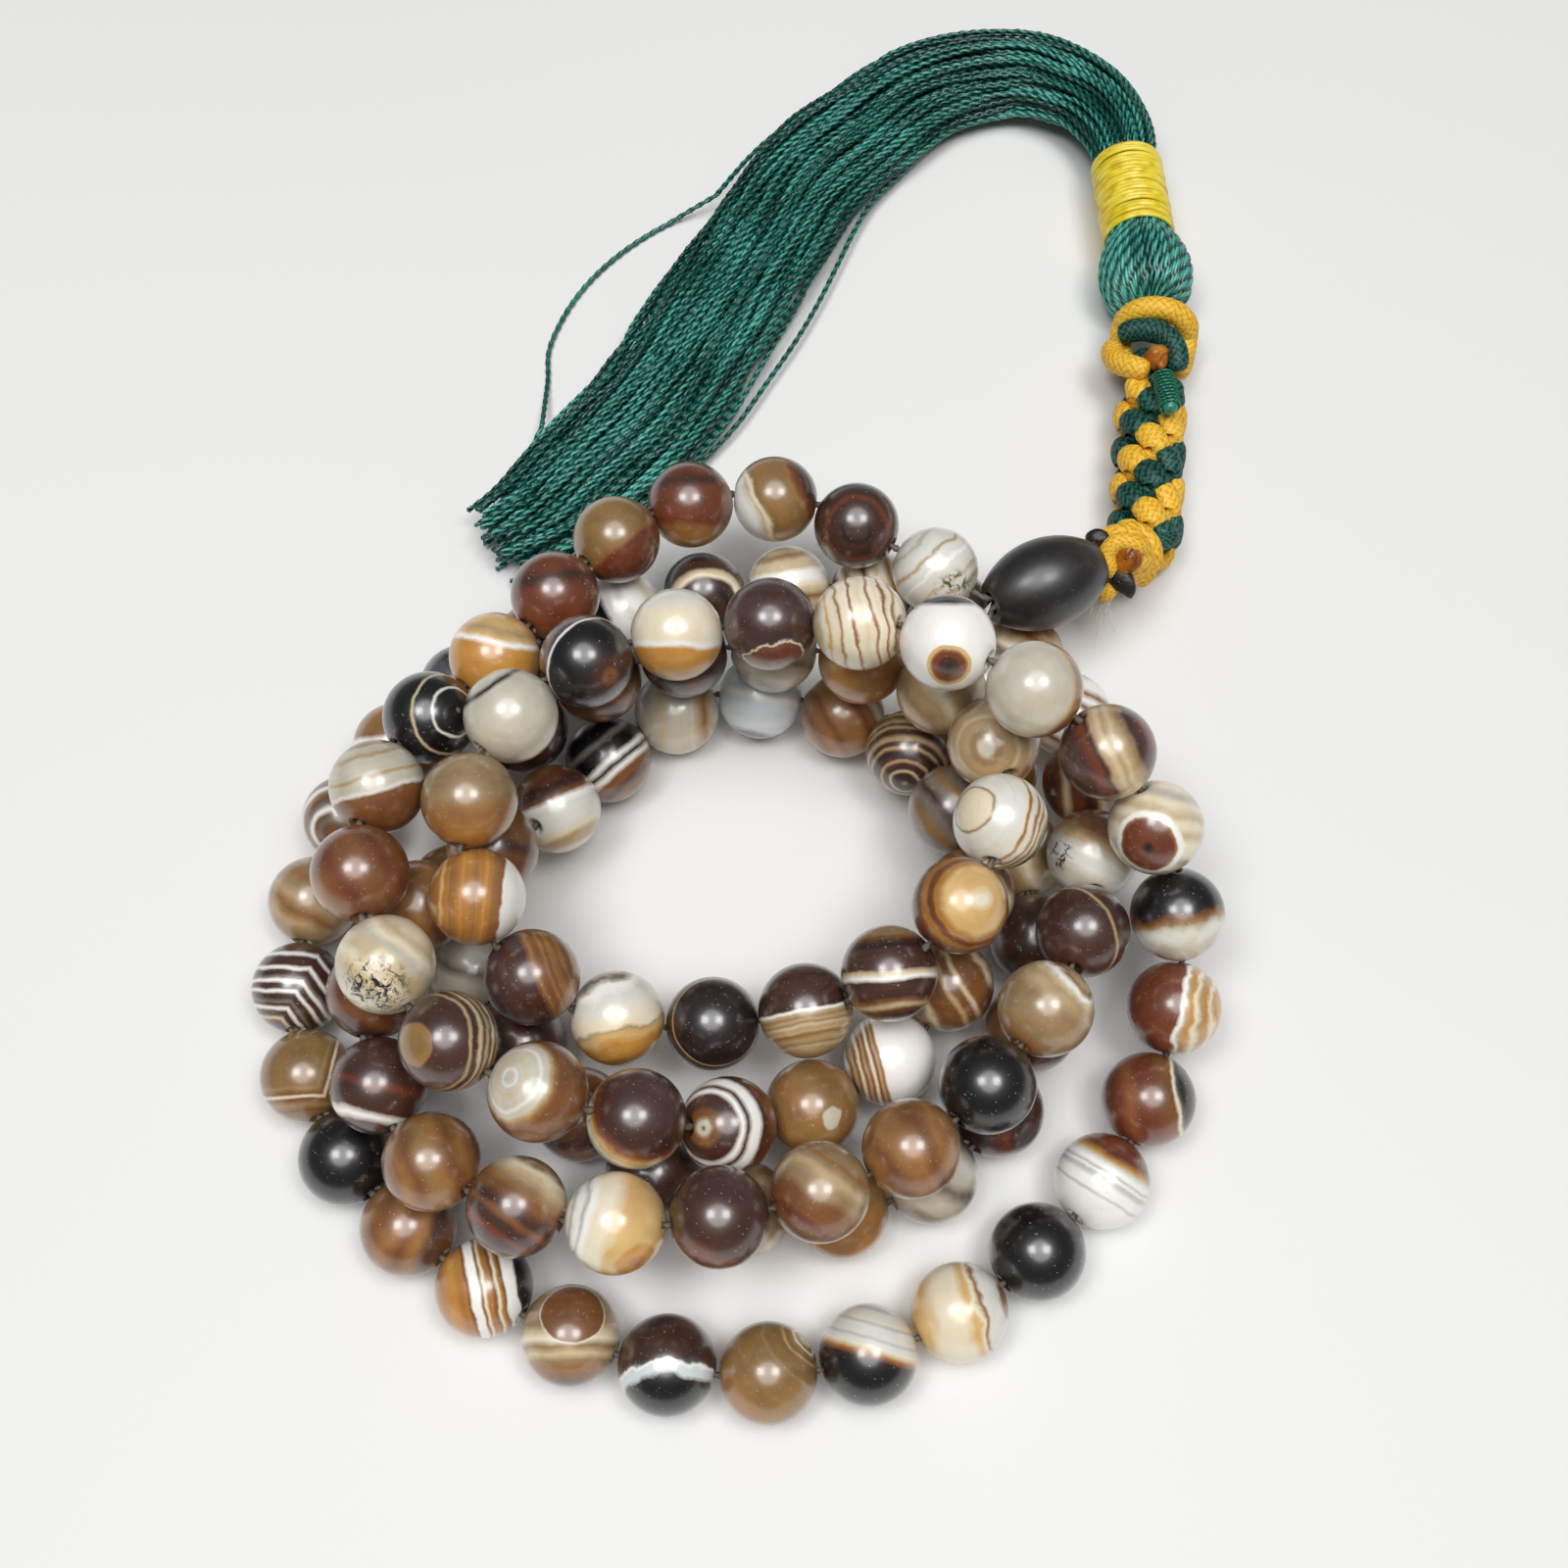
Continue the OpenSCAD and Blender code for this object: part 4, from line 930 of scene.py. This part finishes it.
v, f = blob(over([-0.1, 1.45, 1.65]), (1.45, 2.0, 1.5), UP, 3, 0.35)
piece("singed_lump", v, f, singed, "pendant", ("singed_end",))
v, f = blob(knot_mid + [-0.4, -3.5, 4.8], (1.9, 2.1, 1.0), -core_dir, 5, 0.3)
piece("knot_singe", v, f, singed, "pendant")
m = Nodes("burnt_cord")
color = m.ramp(m.noise(m.co, 700.0, 4.0, 0.6), [(0.35, srgb(12, 11, 14)), (0.62, srgb(44, 38, 36)),
                                               (0.78, srgb(120, 74, 20))])
m.bump(m.noise(m.co, 1100.0, 4.0, 0.6), 0.6, 0.0003)
burnt = m.finish(color, 0.4)
v, f, _ = joined([(*blob(knot_mid + [-3.6, -0.3, 3.7], (1.7, 1.4, 1.1), -core_dir, 7, 0.4), 0.5),
                  (*blob(knot_mid + [-0.8, -5.1, 2.6], (2.0, 1.4, 1.0), -core_dir, 9, 0.4), 0.5)])
piece("knot_burnt_ends", v, f, burnt, "pendant")
LOOSE_D = 2.3
TAIL = [(-1.4, -5.0, 1.2), (-2.6, -5.6, 0.8), (-3.4, -5.9, -0.1)]
FRONT = [(1.4, -2.3, 5.1), (0.0, -2.2, 6.1), (-1.7, -1.9, 5.9), (-2.8, -2.6, 4.7), (-2.7, -3.7, 3.6),
         (-1.9, -4.2, 2.5)]
cord_piece("knot_tail_cord", "yellow", [braided(knot_mid + smooth(TAIL, 10), LOOSE_D, 0.6),
                                        braided(knot_mid + smooth(FRONT, 12), LOOSE_D, 0.3)])

# Whipped stub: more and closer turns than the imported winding, in the same place
SHOWN_WHIPS, SHOWN_FULL, WHIP_LAY, WHIP_STEPS = 10, 1.15, 1.2, 42
whip_step = WHIP_D + WHIP_GAP
whip_ring = tight_d + WHIP_D + 2 * CORD_GAP
stub_l = WHIP_TURNS * whip_step + 2 * WHIP_D
stub_root = pend([0.1 * CORD_D, braid_l - 0.2 * CORD_D, braid_r + whip_ring / 2 + WHIP_D / 2 + CORD_GAP])
stub_dir = unit(0.22 * pend_side - pend_dir)
stub_u = unit(np.cross(stub_dir, UP))
green_whip = yarn("green_whipping", SPUN, 0.3, (0, 50, 38), (6, 100, 76), (60, 166, 132))
core = braided(np.linspace(stub_root, stub_root + stub_dir * stub_l, 20), tight_d, 0.2)
around = np.linspace(0, TURN * SHOWN_WHIPS, WHIP_STEPS * SHOWN_WHIPS)[:, None]
whip = (stub_root + stub_dir * (WHIP_D + around / TURN * whip_step * WHIP_TURNS / SHOWN_WHIPS)
        + (tight_d + WHIP_D) / 2 * (np.cos(around) * stub_u + np.sin(around) * UP))
v, f, s = joined([core, (*thread(whip, WHIP_D * SHOWN_FULL, WHIP_LAY), 0.6)])
piece("whipped_stub_cord", v, f, green_whip, "pendant", ("whipped_stub",), shade=s)

# Tassel head: threads laid down its form, with a little stray and wave
HEAD_THREADS, HEAD_STRAY, HEAD_WAVE, HEAD_R, HEAD_FULL = 62, 0.15, 0.03, 0.45, 1.5
HEAD_LAY, HEAD_TURN, HEAD_STEP, HEAD_SIDES = 4.0, 0.618, 0.33, 48
head_prof = np.concatenate([
    [(NECK_D / 2, 0)],
    smooth([(NECK_D / 2, neck_l, 0), (0.42 * HEAD_D, neck_l + 0.16 * HEAD_L, 0),
            (HEAD_D / 2, neck_l + 0.46 * HEAD_L, 0), (0.46 * HEAD_D, neck_l + 0.75 * HEAD_L, 0),
            (BOUND_D / 2, wrap_from, 0)], 8)[:, :2],
    [(BOUND_D / 2, wrap_from + wrap_l)]])
inner = ([(0.02, -0.45 * NECK_D), (0.3 * NECK_D, -0.3 * NECK_D)] + [(0.9 * r, y) for r, y in head_prof]
         + [(0.02, wrap_from + wrap_l)])
# the form under the threads keeps the floor from showing through; its darkest tone is painted shade for
# the gaps between the threads
v, f = revolve(inner, neck_at, tassel_dir, HEAD_SIDES)
parts = [(v, f, 0.05)]
head_line = np.concatenate([[(0.6, -1.6, 0), (1.5, -1.1, 0)],
                            np.c_[head_prof[:-1], np.zeros(len(head_prof) - 1)],
                            [(BOUND_D / 2, wrap_from + 1.2, 0)]])
head_line = even(smooth(head_line, 3), HEAD_STEP)
paths, radii = [], []
for k in range(HEAD_THREADS):
    a = TURN * (k + HEAD_STRAY * rng.uniform(-1, 1)) / HEAD_THREADS
    wave = np.sin(np.linspace(0, math.pi, len(head_line)) + rng.uniform(-0.5, 0.5))
    ang = a + HEAD_WAVE * wave * rng.uniform(-1, 1)
    rad = np.minimum(HEAD_R, head_line[:, 0] * math.pi / HEAD_THREADS * HEAD_FULL)
    r = head_line[:, 0] - rad * rng.uniform(0.35, 0.8)
    p = tassel(np.stack([r * np.cos(ang), head_line[:, 1], r * np.sin(ang)], -1))
    p[:, 2] = np.maximum(p[:, 2], rad + LIE)
    paths.append(p)
    radii.append(rad)
paths, radii = np.array(paths), np.array(radii)
turn = np.array([TURN * (run_of(p) / HEAD_LAY + j * HEAD_TURN) for j, p in enumerate(paths)])
v, f, ids, ply_painted_light = sweep_many(paths, radii, HEAD_PLY, turn)
shade = rng.uniform(0.3, 0.85, HEAD_THREADS)
# each head thread's own tone, with painted light and shade on its ply
parts.append((v, f, shade[ids] + ply_painted_light))
v, f, s = joined(parts)
piece("tassel_head_threads", v, f, green_thread, "tassel", ("tassel_head",), shade=s)

# Wrap: fine yellow thread, wound close and a little unevenly
yellow_thread = yarn("yellow_thread", SPUN, 0.3, (186, 146, 8), (240, 214, 40), (255, 248, 130))
FLOSS_TURNS, FLOSS_STEPS, FLOSS_SIDES, FLOSS_HIGH, FLOSS_WIDE = 22, 60, 10, 0.28, 0.34
FLOSS_OUT, FLOSS_SWELL, FLOSS_DRIFT, FLOSS_STEP, FLOSS_TINTS = 0.26, 0.09, 0.16, 0.3, 700
FLOSS_FROM, FLOSS_SHORT = 0.4, 0.7
around = np.linspace(0, TURN * FLOSS_TURNS, FLOSS_TURNS * FLOSS_STEPS)
far = BOUND_D / 2 + FLOSS_OUT + FLOSS_SWELL * np.sin(around * 0.37) * np.sin(around * 0.11)
down = (wrap_from + FLOSS_FROM + around / around[-1] * (wrap_l - FLOSS_SHORT)
        + FLOSS_DRIFT * np.sin(around * 0.53) * np.sin(around * 0.17))
p = even(tassel(np.stack([far * np.cos(around), down, far * np.sin(around)], -1)), FLOSS_STEP)
t, _, _ = frames_of(p[None])
out = unit(p - neck_at - np.outer((p - neck_at) @ tassel_dir, tassel_dir))
along = np.cross(t[0], out)
ring = np.stack([p + FLOSS_HIGH * math.cos(a) * out + FLOSS_WIDE * math.sin(a) * along
                 for a in TURN * np.arange(FLOSS_SIDES) / FLOSS_SIDES], 1)
v = np.concatenate([ring.reshape(-1, 3), [p[0], p[-1]]])
tint = np.interp(np.arange(len(p)), np.linspace(0, len(p) - 1, FLOSS_TINTS),
                 rng.uniform(0.1, 1.0, FLOSS_TINTS))
piece("tassel_wrap_thread", v, capped_faces(len(p), FLOSS_SIDES), yellow_thread, "tassel",
      ("tassel_wrap",),
      shade=np.concatenate([np.repeat(tint, FLOSS_SIDES), [0.5, 0.5]]))

# Skirt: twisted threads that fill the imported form, tight at the root and then loose
SKIRT_THREADS, SKIRT_POINTS, SKIRT_LAY, PER_PIECE = 132, 210, 3.2, 45
UNEVEN, LOOSE_AT, SWAY, HEAVE, RIPPLE, RIPPLES = 0.09, 0.12, 0.13, 0.22, 0.03, 7
TIGHT, INSIDE, OFF_FLOOR = 0.86, 0.2, 0.08
k = np.arange(SKIRT_THREADS)
disc_r = np.sqrt((k + 0.5) / SKIRT_THREADS)
disc_a = k * math.pi * (3 - math.sqrt(5))
paths, radii, turns, shades = [], [], [], []
for i in range(SKIRT_THREADS):
    t = np.linspace(0, 1 - UNEVEN * rng.beta(1.2, 2.2), SKIRT_POINTS)
    loose = np.clip(t / LOOSE_AT, 0, 1)
    f1, f2 = rng.uniform(0.6, 2.4, 2)
    g1, g2, g3 = rng.uniform(0, TURN, 3)
    dx = disc_r[i] * math.cos(disc_a[i]) + loose * (SWAY * np.sin(TURN * f1 * t + g1)
                                                    + RIPPLE * np.sin(TURN * RIPPLES * t + g3))
    dy = disc_r[i] * math.sin(disc_a[i]) + loose * HEAVE * np.sin(TURN * f2 * t + g2)
    size = np.sqrt(dx ** 2 + dy ** 2)
    fit = np.where(size > 1, 1 / size, 1)
    rad = THREAD_D / 2 * (TIGHT + (1 - TIGHT) * loose)
    p = (skirt_mid(t) + (dx * fit * (skirt_half(t) - INSIDE))[:, None] * skirt_side(t)
         + (dy * fit * np.maximum(skirt_high(t) - rad, INSIDE))[:, None] * UP)
    p[:, 2] = np.maximum(p[:, 2], rad + OFF_FLOOR)
    paths.append(p)
    radii.append(rad)
    turns.append(TURN * run_of(p) / SKIRT_LAY + g1)
    shades.append(rng.uniform(0.0, 0.7))
# the stray thread's two ends run on in the skirt, and one thread hangs free of its inner edge
EXTRAS = [(0.02, STRAY_OUT, (0.3, 0.9, 0.97), None, stray_path[0]),
          (STRAY_BACK, 0.97, (0.97, 0.95, 0.8), stray_path[-1], None),
          (0.30, 0.93, (-0.9, -1.26, -0.85), None, None)]
EASE, LOWER = 20, 1.2
way = np.linspace(0, 1, SKIRT_POINTS)
for t_from, t_to, dx, first, last in EXTRAS:
    t = np.linspace(t_from, t_to, SKIRT_POINTS)
    x = np.pad(np.interp(way, [0, 0.5, 1], dx), EASE, "edge")
    x = np.convolve(x, np.ones(2 * EASE + 1) / (2 * EASE + 1), "valid")
    p = skirt_mid(t) + (x * (skirt_half(t) - INSIDE))[:, None] * skirt_side(t)
    p[:, 2] = np.maximum(p[:, 2] - LOWER, THREAD_D / 2 + LIE)
    for end, share in ((first, 1 - way), (last, way)):
        if end is not None:
            p += (share ** 3)[:, None] * (end - p[0 if end is first else -1])
    paths.append(p)
    radii.append(np.full(SKIRT_POINTS, THREAD_D / 2))
    turns.append(TURN * run_of(p) / SKIRT_LAY)
    shades.append(0.35)
paths, radii, turns, shades = map(np.array, (paths, radii, turns, shades))
for j, first in enumerate(range(0, len(paths), PER_PIECE)):
    some = slice(first, first + PER_PIECE)
    # each skirt thread's own tone, with painted light and shade on its ply
    v, f, ids, ply_painted_light = sweep_many(paths[some], radii[some], TWO_PLY, turns[some])
    piece("skirt_threads_%d" % (j + 1), v, f, green_thread, "tassel",
          ("tassel_skirt",), shade=shades[some][ids] + ply_painted_light)

# Floor and light, in metres
FLOOR, WORLD_LIGHT = 3, 0.1
SKY_ANGLE, SKY_TILT, SKY_LIGHT = math.radians(50), math.radians(8.5), 1.75
LAMP_X, LAMP_Y, LAMP_Z, LAMP_SIZE, LAMP_WATTS, LAMP_AIM = 0.17, -0.08, 0.55, 0.16, 0.75, (0, 0, 0.01)
m = Nodes("floor")
tone = m.ramp(m.noise(m.co, 3.0, 2.0), [(0.3, (0.80, 0.80, 0.79, 1)), (0.7, (0.84, 0.84, 0.83, 1))])
me = bpy.data.meshes.new("floor")
me.from_pydata([(-FLOOR, -FLOOR, 0), (FLOOR, -FLOOR, 0), (FLOOR, FLOOR, 0), (-FLOOR, FLOOR, 0)], [],
               [(0, 1, 2, 3)])
me.materials.append(m.finish(tone, 0.7))
floor = placed("floor", me)

world = bpy.data.worlds.new("world")
world.use_nodes = True
world.node_tree.nodes["Background"].inputs[0].default_value = (1, 1, 1, 1)
world.node_tree.nodes["Background"].inputs[1].default_value = WORLD_LIGHT
bpy.context.scene.world = world


def lamp(name, at):
    """A soft square lamp, turned towards the part."""
    data = bpy.data.lights.new(name, "AREA")
    data.shape = "RECTANGLE"
    data.size = LAMP_SIZE
    data.size_y = LAMP_SIZE
    data.energy = LAMP_WATTS
    z = unit(np.subtract(at, LAMP_AIM))
    x = unit(np.cross((0, 1, 0), z))
    placed(name, data).matrix_world = Matrix([*zip(x, np.cross(z, x), z, at), (0, 0, 0, 1)])


sky_data = bpy.data.lights.new("soft_sky", "SUN")
sky_data.angle = SKY_ANGLE
sky_data.energy = SKY_LIGHT
placed("soft_sky", sky_data).rotation_euler = (SKY_TILT, 0, 0)
lamp("lamp_left", (-LAMP_X, LAMP_Y, LAMP_Z))
lamp("lamp_right", (LAMP_X, LAMP_Y, LAMP_Z))
bpy.context.scene.view_settings.view_transform = "Standard"
